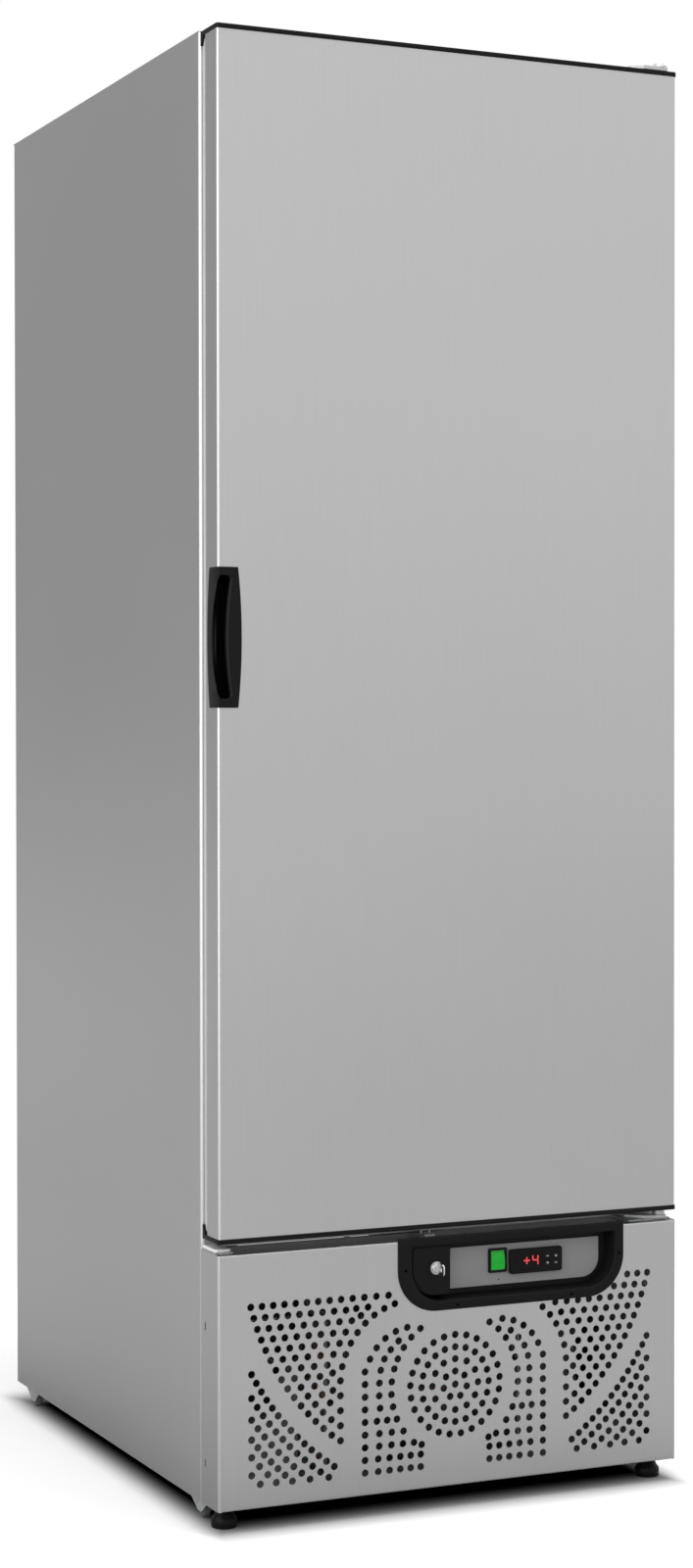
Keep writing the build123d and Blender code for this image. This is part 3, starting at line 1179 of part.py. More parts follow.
# Sections of the shell from below: radius, height and draft, the last two forming the dome
COMPRESSOR_STAGES = ((COMPRESSOR_RADIUS, 104, 0), (COMPRESSOR_RADIUS, 26, 26), (79, 26, 58))
PIPE_STUBS = ((-60, 0), (30, 30))
STUB_LOW = COMPRESSOR_LOW + 120
STUB_TOP = 216
STUB_RADIUS = 8
SOLE_HALF_WIDTH = 105
SOLE_HALF_DEPTH = 62
SOLE_THICK = 3
TERMINAL_IN = 80
TERMINAL_OUT = 126
TERMINAL_HALF = 32
TERMINAL_LOW = COMPRESSOR_LOW + 40
TERMINAL_TOP = COMPRESSOR_LOW + 104
GROMMET_RADIUS = 9
GROMMET_STEPS = (184, 100)
with BuildPart() as compressor:
    level = COMPRESSOR_LOW
    for radius, height, draft in COMPRESSOR_STAGES:
        with BuildSketch(Plane.XY.offset(level)):
            with Locations((COMPRESSOR_X, y_at(COMPRESSOR_DEPTH))):
                RegularPolygon(radius, SIDES)
        extrude(amount=height, taper=draft)
        level += height
    for across, behind in PIPE_STUBS:
        with BuildSketch(Plane.XY.offset(STUB_LOW)):
            with Locations((COMPRESSOR_X + across, y_at(COMPRESSOR_DEPTH + behind))):
                RegularPolygon(STUB_RADIUS, FEW_SIDES)
        extrude(amount=STUB_TOP - STUB_LOW)
    block(COMPRESSOR_X - SOLE_HALF_WIDTH, COMPRESSOR_X + SOLE_HALF_WIDTH, COMPRESSOR_DEPTH - SOLE_HALF_DEPTH,
          COMPRESSOR_DEPTH + SOLE_HALF_DEPTH, COMPRESSOR_LOW, COMPRESSOR_LOW + SOLE_THICK)
    block(COMPRESSOR_X + TERMINAL_IN, COMPRESSOR_X + TERMINAL_OUT, COMPRESSOR_DEPTH - TERMINAL_HALF,
          COMPRESSOR_DEPTH + TERMINAL_HALF, TERMINAL_LOW, TERMINAL_TOP)
    with BuildSketch(Plane.XY.offset(FLOOR_GAP + TRAY_SHEET)):
        with Locations((COMPRESSOR_X, y_at(COMPRESSOR_DEPTH))):
            with GridLocations(*GROMMET_STEPS, 2, 2):
                RegularPolygon(GROMMET_RADIUS, 6)
    extrude(amount=COMPRESSOR_LOW - FLOOR_GAP - TRAY_SHEET)
compressor.part.label = "compressor"
export_step(compressor.part, "parts/compressor.step")


def pipe(points, bend, radius):
    """A copper pipe on straight runs joined by bends."""
    with BuildLine() as route:
        FilletPolyline(*points, radius=bend)
    with BuildSketch(Plane(origin=route.line @ 0, z_dir=route.line % 0)) as section:
        RegularPolygon(radius, 6)
    sweep(section.sketch, path=route.line)


# The hot pipe runs forward to the condenser, and the suction pipe back and up to the deck
HOT_X = COMPRESSOR_X + PIPE_STUBS[0][0]
HOT_DEPTH = COMPRESSOR_DEPTH + PIPE_STUBS[0][1]
HOT_LEVEL = 300
SUCTION_X = COMPRESSOR_X + PIPE_STUBS[1][0]
SUCTION_DEPTH = COMPRESSOR_DEPTH + PIPE_STUBS[1][1]
SUCTION_LEVEL = 340
HOT_END = 130  # depth of the pipe's drop to the condenser
SUCTION_END = 790  # depth of the pipe's rise to the deck
HOT_BEND = 24
HOT_RADIUS = 5
SUCTION_BEND = 16
SUCTION_RADIUS = 6
with BuildPart() as refrigerant_pipes:
    pipe(((HOT_X, y_at(HOT_DEPTH), STUB_TOP), (HOT_X, y_at(HOT_DEPTH), HOT_LEVEL),
          (HOT_X, y_at(HOT_END), HOT_LEVEL), (HOT_X, y_at(HOT_END), CONDENSER_HIGH)), HOT_BEND, HOT_RADIUS)
    pipe(((SUCTION_X, y_at(SUCTION_DEPTH), STUB_TOP), (SUCTION_X, y_at(SUCTION_DEPTH), SUCTION_LEVEL),
          (SUCTION_X, y_at(SUCTION_END), SUCTION_LEVEL), (SUCTION_X, y_at(SUCTION_END), DECK)),
         SUCTION_BEND, SUCTION_RADIUS)
refrigerant_pipes.part.label = "refrigerant_pipes"
export_step(refrigerant_pipes.part, "parts/refrigerant_pipes.step")

# Condensate tray under the deck's spout
BASIN_LEFT = -290
BASIN_RIGHT = -20
BASIN_FRONT = 560
BASIN_BACK = 800
BASIN_TOP = 86
BASIN_WALL = 2
with BuildPart() as condensate_tray:
    block(BASIN_LEFT, BASIN_RIGHT, BASIN_FRONT, BASIN_BACK, FLOOR_GAP + TRAY_SHEET, BASIN_TOP)
    offset(amount=-BASIN_WALL, openings=condensate_tray.faces().sort_by(Axis.Z)[-1])
condensate_tray.part.label = "condensate_tray"
export_step(condensate_tray.part, "parts/condensate_tray.step")

BOX_LEFT = 190
BOX_RIGHT = 330
BOX_FRONT = 250
BOX_BACK = 420
BOX_TOP = 180
BOX_CHAMFER = 6
with BuildPart() as electrical_box:
    block(BOX_LEFT, BOX_RIGHT, BOX_FRONT, BOX_BACK, FLOOR_GAP + TRAY_SHEET, BOX_TOP)
    chamfer(electrical_box.edges().filter_by(Axis.Z), BOX_CHAMFER)
electrical_box.part.label = "electrical_box"
export_step(electrical_box.part, "parts/electrical_box.step")

# Mains gland: a nut inside the tray's wall, a nut and a dome outside it, and a bore for the lead
GLAND_NUT = 12
GLAND_DOME = 9
GLAND_BORE = 4.5
GLAND_INSIDE = TRAY_BACK - TRAY_SHEET - 8
GLAND_SHOULDER = TRAY_BACK + 12
GLAND_END = GLAND_SHOULDER + 7
# Radius, sides, and the depths where each stage starts and stops
GLAND_STAGES = ((GLAND_NUT, 6, GLAND_INSIDE, TRAY_BACK - TRAY_SHEET),
                (GLAND_RADIUS, FEW_SIDES, TRAY_BACK - TRAY_SHEET, TRAY_BACK),
                (GLAND_NUT, 6, TRAY_BACK, GLAND_SHOULDER),
                (GLAND_DOME, FEW_SIDES, GLAND_SHOULDER, GLAND_END))
with BuildPart() as power_gland:
    for radius, sides, near, far in GLAND_STAGES:
        with BuildSketch(front_plane(near)):
            with Locations((GLAND_X, GLAND_Z)):
                RegularPolygon(radius, sides)
        extrude(amount=near - far)
    with BuildSketch(front_plane(GLAND_INSIDE)):
        with Locations((GLAND_X, GLAND_Z)):
            RegularPolygon(GLAND_BORE, FEW_SIDES)
    extrude(amount=GLAND_INSIDE - GLAND_END, mode=Mode.SUBTRACT)
power_gland.part.label = "power_gland"
export_step(power_gland.part, "parts/power_gland.step")

# Rollers: a bent fork under each corner with a fixed axle, and a wheel on it
FORK = 1.5
FORK_HALF = ROLLER_WIDTH / 2 + 0.5
FORK_AHEAD = 32  # reach of the fork's root in front of the axle, and behind it
FORK_BEHIND = 42
FORK_EYE = 6
AXLE_PLAY = 0.1
with BuildPart() as roller_forks:
    for name, x, depth, hub in ROLLERS:
        for side in (-1, 1):
            with BuildSketch(side_plane(x + side * FORK_HALF)):
                with BuildLine():
                    Polyline((y_at(depth - FORK_AHEAD), FLOOR_GAP), (y_at(depth - FORK_EYE), hub - FORK_EYE),
                             (y_at(depth + FORK_EYE), hub - FORK_EYE),
                             (y_at(depth + FORK_BEHIND), FLOOR_GAP), close=True)
                make_face()
            extrude(amount=side * FORK)
        with BuildSketch(side_plane(x - FORK_HALF)):
            with Locations((y_at(depth), hub)):
                RegularPolygon(AXLE_RADIUS, FEW_SIDES)
        extrude(amount=2 * FORK_HALF)
roller_forks.part.label = "roller_forks"
export_step(roller_forks.part, "parts/roller_forks.step")

for name, x, depth, hub in ROLLERS:
    with BuildPart() as roller:
        with BuildSketch(side_plane(x)):
            with Locations((y_at(depth), hub)):
                RegularPolygon(ROLLER_RADIUS, SIDES, rotation=180 / SIDES, major_radius=False)
                RegularPolygon(AXLE_RADIUS + AXLE_PLAY, FEW_SIDES, major_radius=False, mode=Mode.SUBTRACT)
        extrude(amount=ROLLER_WIDTH / 2, both=True)
    roller.part.label = f"roller_{name}"
    export_step(roller.part, f"parts/roller_{name}.step")

# Low and high level, radius, sides and draft of the foot's rim, its shoulder and its stem
FOOT_STAGES = ((0, 13, FOOT_RADIUS, SIDES, 0), (13, 23, FOOT_RADIUS, SIDES, 32),
               (22, 64, STEM_RADIUS, FEW_SIDES, 0))
for side, name in ((-1, "foot_left"), (1, "foot_right")):
    with BuildPart() as foot:
        for low, high, radius, sides, draft in FOOT_STAGES:
            with BuildSketch(Plane.XY.offset(low)):
                with Locations((side * FOOT_X, y_at(FOOT_DEPTH))):
                    RegularPolygon(radius, sides)
            extrude(amount=high - low, taper=draft)
    foot.part.label = name
    export_step(foot.part, f"parts/{name}.step")

# Screws: four in the bezel's rim and four in the top hinge
RIM_SCREWS = ((-76, 331), (3, 278.7), (181, 278.7), (257, 331))
HINGE_SCREWS = ((0, 84), (0, 106), (-36, 88), (-36, 106))
RIM_SCREW_RADIUS = 3
RIM_SCREW_PROUD = 0.6
HINGE_SCREW_RADIUS = 5
HINGE_SCREW_HEIGHT = 3
with BuildPart() as screws:
    with BuildSketch(front_plane(-BEZEL_PROUD)):
        with Locations(*RIM_SCREWS):
            RegularPolygon(RIM_SCREW_RADIUS, 6)
    extrude(amount=RIM_SCREW_PROUD)
    with BuildSketch(Plane.XY.offset(HEIGHT + PLATE)):
        with Locations(*((HINGE_X + across, y_at(depth)) for across, depth in HINGE_SCREWS)):
            RegularPolygon(HINGE_SCREW_RADIUS, 6)
    extrude(amount=HINGE_SCREW_HEIGHT)
screws.part.label = "screws"
export_step(screws.part, "parts/screws.step")
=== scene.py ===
# %% [markdown]
# A tall steel refrigerator for a professional kitchen, dressed for a studio picture.
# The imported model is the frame: it fixes where every piece is, and nothing here moves it.
# This lesson builds a finer skin over the frame, piece by piece, and gives each one a finish.

# %% Load the frame
import json
import math
from types import SimpleNamespace

import bmesh
import bpy
from mathutils import Matrix, Vector

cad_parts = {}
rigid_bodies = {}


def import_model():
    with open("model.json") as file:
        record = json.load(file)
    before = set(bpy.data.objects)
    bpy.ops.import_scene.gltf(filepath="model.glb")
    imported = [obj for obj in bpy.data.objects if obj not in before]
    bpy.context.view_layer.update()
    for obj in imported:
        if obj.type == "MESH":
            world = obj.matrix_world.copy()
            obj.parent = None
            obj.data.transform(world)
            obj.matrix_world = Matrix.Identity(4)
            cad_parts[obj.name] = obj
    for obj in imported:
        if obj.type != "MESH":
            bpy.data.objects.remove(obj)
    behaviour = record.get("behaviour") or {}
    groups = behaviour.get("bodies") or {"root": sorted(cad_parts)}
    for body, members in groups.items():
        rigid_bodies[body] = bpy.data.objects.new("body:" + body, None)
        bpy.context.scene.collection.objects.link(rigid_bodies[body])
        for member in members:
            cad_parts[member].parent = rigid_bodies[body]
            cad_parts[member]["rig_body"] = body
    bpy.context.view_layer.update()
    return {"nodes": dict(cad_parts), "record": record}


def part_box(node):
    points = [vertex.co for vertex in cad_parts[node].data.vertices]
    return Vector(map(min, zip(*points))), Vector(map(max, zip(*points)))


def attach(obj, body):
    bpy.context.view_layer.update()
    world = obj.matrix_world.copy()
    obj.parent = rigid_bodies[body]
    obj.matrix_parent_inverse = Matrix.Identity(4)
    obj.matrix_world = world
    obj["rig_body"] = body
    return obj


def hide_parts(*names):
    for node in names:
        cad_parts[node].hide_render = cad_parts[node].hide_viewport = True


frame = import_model()
print("pieces in the frame:", len(frame["nodes"]))

# %% [markdown]
# Blender measures in metres, while sheet metal is drawn in millimetres.
# One constant turns a drawing size into a Blender size, so that every number below stays readable.
# The extent of a node tells where a new piece has to lie.

# %% Units and extents
MM = 0.001
SHEET = 1.2 * MM
FOLD = 2.2 * MM
CORNER_FOLD = 4.5 * MM
CASING_FOLD = 6.5 * MM


def extent(node):
    """The six sides of a node of the frame."""
    low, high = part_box(node)
    return SimpleNamespace(left=low.x, right=high.x, front=low.y, back=high.y, low=low.z, high=high.z,
                           x=(low.x + high.x) / 2, y=(low.y + high.y) / 2, z=(low.z + high.z) / 2)


DOOR_FACE = extent("door_skin").front
HALF = extent("side_panel_right").right
print(f"door face at y = {DOOR_FACE:.4f} m, casing {2 * HALF:.3f} m wide")


def y_at(depth):
    """The y of a place from its depth in millimetres behind the door's face."""
    return DOOR_FACE + depth * MM

# %% [markdown]
# The viewer stands a little to the left of the cabinet, at about half its height, and looks nearly level.
# A long lens keeps the uprights nearly parallel, as in a catalogue picture.
# The angles were found by matching corners of the cabinet, so they aren't round numbers.

# %% Camera
CAMERA_PLACE = (-1.7554, -3.9481, 1.0547)
CAMERA_YAW = 24.31
CAMERA_PITCH = 0.89
CAMERA_ROLL = 0.057
LENS = 66.0


def add_object(name, data):
    """Puts a new object with its data into the scene."""
    thing = bpy.data.objects.new(name, data)
    bpy.context.scene.collection.objects.link(thing)
    return thing


camera_data = bpy.data.cameras.new("camera")
camera_data.lens = LENS
camera_data.sensor_width = 36
camera = add_object("camera", camera_data)
camera.location = CAMERA_PLACE
turn = Matrix.Rotation(-math.radians(CAMERA_YAW), 3, "Z") @ Matrix.Rotation(
    math.radians(90 - CAMERA_PITCH), 3, "X") @ Matrix.Rotation(-math.radians(CAMERA_ROLL), 3, "Z")
camera.rotation_euler = turn.to_euler()
bpy.context.scene.camera = camera
print("camera distance from the door:", round((Vector(CAMERA_PLACE) - Vector((0, DOOR_FACE, 1))).length, 2))

# %% [markdown]
# Shader maths reads best as plain expressions, so one small class wraps a socket of a node.
# Its signs add Math nodes, and its net adds any other node from a type, settings and inputs.
# The settings come first, because some of them change which sockets a node has.

# %% Shader expressions


class Signal:
    """An output socket whose value goes through Math nodes when it is used in an expression."""

    def __init__(self, net, socket):
        self.net = net
        self.socket = socket

    def maths(self, operation, first, second):
        """Any operation of a Math node."""
        return self.net.node("ShaderNodeMath", {"operation": operation}, {0: first, 1: second})

    def __add__(self, other):
        return self.maths("ADD", self, other)

    def __rsub__(self, other):
        return self.maths("SUBTRACT", other, self)

    def __mul__(self, other):
        return self.maths("MULTIPLY", self, other)

    __radd__ = __add__
    __rmul__ = __mul__

    def clamped(self):
        """The value, kept between 0 and 1."""
        return self.net.node("ShaderNodeClamp", {}, {"Value": self})

    def eased(self, start, stop):
        """A share that eases from 0 at start to 1 at stop."""
        return self.net.node("ShaderNodeMapRange", {"interpolation_type": "SMOOTHSTEP"},
                             {"Value": self, "From Min": start, "From Max": stop})


class Net:
    """A node tree that starts empty and grows by one node at a time."""

    def __init__(self, tree):
        self.tree = tree
        tree.nodes.clear()

    def node(self, kind, settings=None, inputs=None, output=0):
        """A node of a kind. Its settings come first, then the values or links of its sockets."""
        node = self.tree.nodes.new(kind)
        for name, value in (settings or {}).items():
            if name == "stops":
                for place, stop in enumerate(value):
                    elements = node.color_ramp.elements
                    element = elements[place] if place < len(elements) else elements.new(1)
                    element.position, element.color = stop[0], (*stop[1], 1)
            else:
                setattr(node, name, value)
        for name, value in (inputs or {}).items():
            if isinstance(value, Signal):
                self.tree.links.new(value.socket, node.inputs[name])
            else:
                node.inputs[name].default_value = value
        return Signal(self, node.outputs[output]) if node.outputs else node

    def colours(self, share, first, second):
        """A blend of two colours."""
        first = first if isinstance(first, Signal) else (*first, 1)
        second = second if isinstance(second, Signal) else (*second, 1)
        return self.node("ShaderNodeMix", {"data_type": "RGBA"}, {0: share, 6: first, 7: second}, output=2)

    def grey(self, level):
        """A grey between black and white."""
        return self.colours(level, (0, 0, 0), (1, 1, 1))

    def place(self, scale=(1, 1, 1)):
        """The place on the piece, stretched along its axes."""
        where = self.node("ShaderNodeTexCoord", output="Object")
        return self.node("ShaderNodeMapping", {}, {"Vector": where, "Scale": scale})

    def noise(self, scale, detail=2, stretch=(1, 1, 1)):
        """Cloudy noise from 0 to 1."""
        return self.node("ShaderNodeTexNoise", {},
                         {"Vector": self.place(stretch), "Scale": scale, "Detail": detail})

    def vector(self, operation, first, second=(0, 0, 0), output=0):
        """Any operation of a Vector Math node."""
        return self.node("ShaderNodeVectorMath", {"operation": operation}, {0: first, 1: second}, output)

    def bump(self, height, strength, distance):
        """A surface that rises and falls with a value, for the Normal socket."""
        return self.node("ShaderNodeBump", {},
                         {"Height": height, "Strength": strength, "Distance": distance})


FINISHES = {}


def finish(name, surface, **constants):
    """Keeps a material with one Principled shader, fed by what a surface function returns."""
    material = bpy.data.materials.new(name)
    material.use_nodes = True
    net = Net(material.node_tree)
    inputs = {key.replace("_", " "): value for key, value in constants.items()}
    inputs.update(surface(net))
    shader = net.node("ShaderNodeBsdfPrincipled", {}, inputs)
    net.node("ShaderNodeOutputMaterial", {}, {"Surface": shader})
    FINISHES[name] = material

# %% [markdown]
# Stainless sheet is rolled and then brushed, which leaves hair lines that run one way.
# Stretched noise gives those lines, and only nudges the colour, the roughness and the bump.
# Seen from a few metres the lines melt into one smooth grey with a soft sheen, as they should.

# %% Stainless steel
STAINLESS = 0.525


def brushed(tone, along):
    """A surface function for brushed steel with hair lines along one axis."""
    fine = [900, 900, 900]
    fine[along] = 9

    def surface(net):
        hair = net.noise(1, 3, fine)
        cloud = net.noise(2.2, 1)
        shade = hair * 0.05 + cloud * 0.03 + (tone - 0.04)
        return {"Base Color": net.grey(shade),
                "Roughness": hair * 0.10 + cloud * 0.04 + 0.30,
                "Normal": net.bump(hair, 0.12, 0.02 * MM)}
    return surface


finish("stainless", brushed(STAINLESS, 2), Metallic=1.0)

# %% [markdown]
# Galvanised sheet shows frosty zinc crystals, called spangle, a few millimetres across.
# Voronoi cells give each crystal its own grey, and the coating stays dull.

# %% Galvanised steel


def spangle(net):
    cells = net.node("ShaderNodeTexVoronoi", {}, {"Vector": net.place(), "Scale": 160.0}, output="Color")
    tone = net.node("ShaderNodeSeparateColor", {}, {"Color": cells}, output="Red")
    return {"Base Color": net.colours(tone, (0.40, 0.42, 0.43), (0.56, 0.58, 0.59)),
            "Roughness": tone * 0.18 + 0.36}


finish("galvanised", spangle, Metallic=0.6)

# %% [markdown]
# Moulded plastics differ mostly in colour, gloss and the fine grain that the mould leaves.
# One function makes them all: noise gives the grain and a slight change of tone.

# %% Plastics, rubber and foam


def moulded(colour, rough, grain, bump=0.15, vary=0.12):
    """A surface function for an even material with a fine grain."""
    darker = tuple(c * (1 - vary) for c in colour)
    lighter = tuple(min(c * (1 + vary), 1) for c in colour)

    def surface(net):
        speck = net.noise(grain, 2)
        cloud = net.noise(14, 1)
        return {"Base Color": net.colours(cloud, darker, lighter),
                "Roughness": speck * 0.12 + (rough - 0.06),
                "Normal": net.bump(speck, bump, 0.05 * MM)}
    return surface


finish("black_plastic", moulded((0.004, 0.004, 0.0045), 0.42, 1800),
       Specular_IOR_Level=0.14)
finish("grey_fascia", moulded((0.215, 0.215, 0.22), 0.36, 1200, 0.05))
finish("button_plastic", moulded((0.010, 0.010, 0.011), 0.38, 1500),
       Specular_IOR_Level=0.25)
finish("seal_rubber", moulded((0.48, 0.48, 0.49), 0.62, 900))
# Nylon is pale; on the blank cover at the left hinge mount that paleness is partly a painted highlight.
finish("nylon", moulded((0.78, 0.775, 0.76), 0.40, 1200))
finish("grey_box", moulded((0.33, 0.34, 0.35), 0.52, 1400))
finish("roller_plastic", moulded((0.10, 0.10, 0.10), 0.45, 1400))
finish("black_steel", moulded((0.018, 0.018, 0.019), 0.30, 260, 0.25),
       Coat_Weight=0.35, Coat_Roughness=0.18)
finish("coated_wire", moulded((0.60, 0.61, 0.60), 0.33, 700, 0.08),
       Coat_Weight=0.3, Coat_Roughness=0.15)
finish("foam", moulded((0.62, 0.50, 0.27), 0.90, 420, 0.6, 0.2))
finish("lamp_cover", moulded((0.80, 0.82, 0.82), 0.32, 500, 0.1, 0.04),
       Subsurface_Weight=0.2)

# %% [markdown]
# Bright steel is plated and polished, so it mirrors the room with little blur, and zinc is duller.
# Aluminium fins and copper pipes are softer metals: duller, with stains that vary the tone.

# %% Bright metals


def plated(colour, rough, stain):
    """A surface function for bare metal with cloudy stains."""
    dull = tuple(c * (1 - stain) for c in colour)

    def surface(net):
        cloud = net.noise(60, 3)
        return {"Base Color": net.colours(cloud, dull, colour), "Roughness": cloud * 0.12 + (rough - 0.06)}
    return surface


finish("bright_steel", plated((0.78, 0.78, 0.78), 0.22, 0.10), Metallic=1.0)
finish("zinc", plated((0.56, 0.56, 0.56), 0.34, 0.12), Metallic=0.55)
finish("aluminium_fins", plated((0.66, 0.67, 0.68), 0.42, 0.16), Metallic=1.0)
finish("copper", plated((0.72, 0.36, 0.22), 0.34, 0.30), Metallic=1.0)

# %% [markdown]
# The rocker is clear green plastic with a lamp inside, so it glows and tints the frame round it.
# The window of the thermostat is smoked plastic, and its digits glow red.

# %% Lit plastics


def lit_green(net):
    cloud = net.noise(90, 2)
    return {"Base Color": net.colours(cloud, (0.002, 0.17, 0.012), (0.004, 0.24, 0.02)),
            "Emission Color": net.colours(cloud, (0.001, 0.30, 0.012), (0.004, 0.48, 0.03)),
            "Roughness": cloud * 0.1 + 0.25}


def lit_red(net):
    cloud = net.noise(700, 1)
    return {"Base Color": net.colours(cloud, (0.3, 0.01, 0.015), (0.4, 0.02, 0.02)),
            "Emission Color": net.colours(cloud, (0.55, 0.03, 0.05), (0.85, 0.07, 0.08))}


def smoked(net):
    haze = net.noise(40, 2)
    return {"Base Color": net.colours(haze, (0.004, 0.003, 0.003), (0.010, 0.007, 0.007)),
            "Roughness": haze * 0.06 + 0.12}


finish("rocker_green", lit_green, Emission_Strength=0.42,
       Specular_IOR_Level=0.3)
finish("digit_red", lit_red, Emission_Strength=1.0, Roughness=0.5)
finish("smoked_lens", smoked, Specular_IOR_Level=0.12)
print("finishes:", len(FINISHES))

# %% [markdown]
# The frame already knows which finish each of its nodes has, through the slots of the record.
# Every node gets its finish at once. A finer piece that replaces a node takes the same one.

# %% Dress the frame
SLOTS = {part["node"]: part["material_slot"] for part in frame["record"]["subparts"]}
for name, node in frame["nodes"].items():
    node.data.materials.clear()
    node.data.materials.append(FINISHES[SLOTS[name]])
print("dressed nodes:", len(SLOTS))

# %% [markdown]
# Polished steel has no shade of its own: it shows what stands around it.
# So the sky is a studio of soft grey levels, bright ahead of the door and darker behind the cabinet,
# and a little brighter towards the top.
# The door then shades from a light top to a deeper foot, and the side stays a calm middle grey.
# A level above 1 counts as 1, so the brightest part is a broad patch and not one spot.
# The camera itself sees plain white, so that the cabinet stands out clean.

# %% Sky
SKY_BEHIND = 0.385
SKY_AHEAD = 1.05
SKY_RISE_BEHIND = 0.20
SKY_RISE_AHEAD = 0.32
AHEAD = (0.55, -0.83, 0.0)

world = bpy.data.worlds.new("studio")
world.use_nodes = True
bpy.context.scene.world = world
net = Net(world.node_tree)
towards = net.node("ShaderNodeTexCoord", output="Generated")
facing = net.vector("DOT_PRODUCT", towards, AHEAD, output="Value")
height = net.node("ShaderNodeSeparateXYZ", {}, {"Vector": towards}, output="Z")
share = facing * 0.5 + 0.5
rise = height * (share * (SKY_RISE_AHEAD - SKY_RISE_BEHIND) + SKY_RISE_BEHIND)
level = share * (SKY_AHEAD - SKY_BEHIND) + rise + SKY_BEHIND
seen = net.node("ShaderNodeLightPath", output="Is Camera Ray")
sky = net.node("ShaderNodeBackground", {}, {"Color": net.grey(level.clamped())})
white = net.node("ShaderNodeBackground", {}, {"Color": (1, 1, 1, 1)})
both = net.node("ShaderNodeMixShader", {}, {0: seen, 1: sky, 2: white})
net.node("ShaderNodeOutputWorld", {}, {"Surface": both})
print("sky levels, ahead and behind:", SKY_AHEAD, SKY_BEHIND)

# %% [markdown]
# The floor is matt and pale, and darkens where the cabinet keeps light from it.
# For the camera it is a white sheet with a faint glow, which melts into the white sky some way off,
# so the picture has no horizon. The photographed shadow is deeper than soft boxes give,
# so the sheet's colour also falls to black at the cabinet's footprint, more steeply at its sides.
# The steel mirrors a floor of another tone: a middle grey, with painted shade near the footprint
# and painted light far off, which gives the base its deep foot and the middle of the door its lighter band.

# %% Floor
FLOOR_REACH = 30.0
FLOOR_TONE = 0.52
SHEET_TONE = 0.97
MELT_START = 0.9
MELT_END = 1.6
SHADE_START = -0.065
SHADE_END = 0.075
SQUEEZE = (2.0, 1.0, 1.0)
# The depth and the reach of the painted shade that the steel sees in the floor near the cabinet.
REFLECTED_SHADE = 0.30
REFLECTED_SHADE_END = 0.50
LIFT = 0.12
# The painted light that the steel sees in the far floor, and where it starts and ends.
FAR_REFLECTED_LIGHT = 0.20
FAR_START = 2.5
FAR_END = 6.0
MIDDLE = (0, (DOOR_FACE + extent("rear_panel").back) / 2, 0)
HALF_PLAN = (HALF - 3 * MM, (extent("rear_panel").back - DOOR_FACE) / 2, 0)

floor_mesh = bpy.data.meshes.new("floor")
corners = [(-1, -1), (1, -1), (1, 1), (-1, 1)]
floor_mesh.from_pydata([(x * FLOOR_REACH, y * FLOOR_REACH, 0) for x, y in corners], [], [(0, 1, 2, 3)])
floor = add_object("floor", floor_mesh)
material = bpy.data.materials.new("pale_floor")
material.use_nodes = True
net = Net(material.node_tree)
seen = net.node("ShaderNodeLightPath", output="Is Camera Ray")
from_middle = net.vector("ABSOLUTE", net.vector("SUBTRACT", net.place(), MIDDLE))
beyond = net.vector("MULTIPLY", net.vector("SUBTRACT", from_middle, HALF_PLAN), SQUEEZE)
sides = net.node("ShaderNodeSeparateXYZ", {}, {"Vector": beyond}, output="X")
ends = net.node("ShaderNodeSeparateXYZ", {}, {"Vector": beyond}, output="Y")
outside = net.vector("LENGTH", net.vector("MAXIMUM", beyond), output="Value")
inside = sides.maths("MINIMUM", sides.maths("MAXIMUM", sides, ends), 0.0)
distance = outside + inside
shade = 1.0 - (1.0 - distance.eased(SHADE_START, SHADE_END)) * seen
# Painted shade: the floor that the steel mirrors darkens towards the cabinet's footprint.
reflected_shade = 1.0 - (1.0 - distance.eased(0.0, REFLECTED_SHADE_END)) * (1.0 - seen) * REFLECTED_SHADE
dust = net.noise(3, 2) * 0.03
reach = net.vector("LENGTH", net.place(), output="Value")
# Painted light: the floor that the steel mirrors grows paler far off.
mirrored = reach.eased(FAR_START, FAR_END) * FAR_REFLECTED_LIGHT + FLOOR_TONE
tone = (dust + seen * (SHEET_TONE - mirrored) + mirrored) * shade * reflected_shade
glow = net.colours(seen * shade, (0, 0, 0), (LIFT, LIFT, LIFT))
matt = net.node("ShaderNodeBsdfPrincipled", {}, {
    "Base Color": net.grey(tone.clamped()), "Roughness": 1.0, "Specular IOR Level": 0.0,
    "Emission Color": glow, "Emission Strength": 1.0})
lit = net.node("ShaderNodeEmission", {}, {"Color": (1, 1, 1, 1), "Strength": 1.0})
melted = reach.eased(MELT_START, MELT_END) * seen
surface = net.node("ShaderNodeMixShader", {}, {0: melted, 1: matt, 2: lit})
net.node("ShaderNodeOutputMaterial", {}, {"Surface": surface})
floor_mesh.materials.append(material)
print("floor reaches", FLOOR_REACH, "m each way")

# %% [markdown]
# Two soft boxes do the rest: a broad one on the left, and a smaller one high above.
# From the camera's place neither the door nor the side mirrors them, so no lamp shows in the flat
# steel, but every rounded fold between two faces catches the broad one as a thin bright line.

# %% Lamps


def soft_lamp(name, place, aim, width, watts):
    """A square area lamp that looks at a point."""
    data = bpy.data.lights.new(name, "AREA")
    data.size = width
    data.energy = watts
    lamp = add_object(name, data)
    lamp.location = place
    lamp.rotation_euler = (Vector(aim) - Vector(place)).to_track_quat("-Z", "Y").to_euler()
    print(name, watts, "W")


soft_lamp("left_box", (-2.95, -1.45, 1.75), (-0.35, -0.42, 1.2), 3.2, 62)
soft_lamp("top_box", (0.6, -0.6, 4.6), (0, 0, 0), 1.6, 75)
bpy.context.scene.view_settings.view_transform = "Standard"

# %% [markdown]
# Nearly every piece below is a closed outline pushed along an axis, a profile turned about an axis,
# or a skin over a row of outlines. These few helpers draw the outlines, with arcs at the corners.

# %% Outlines


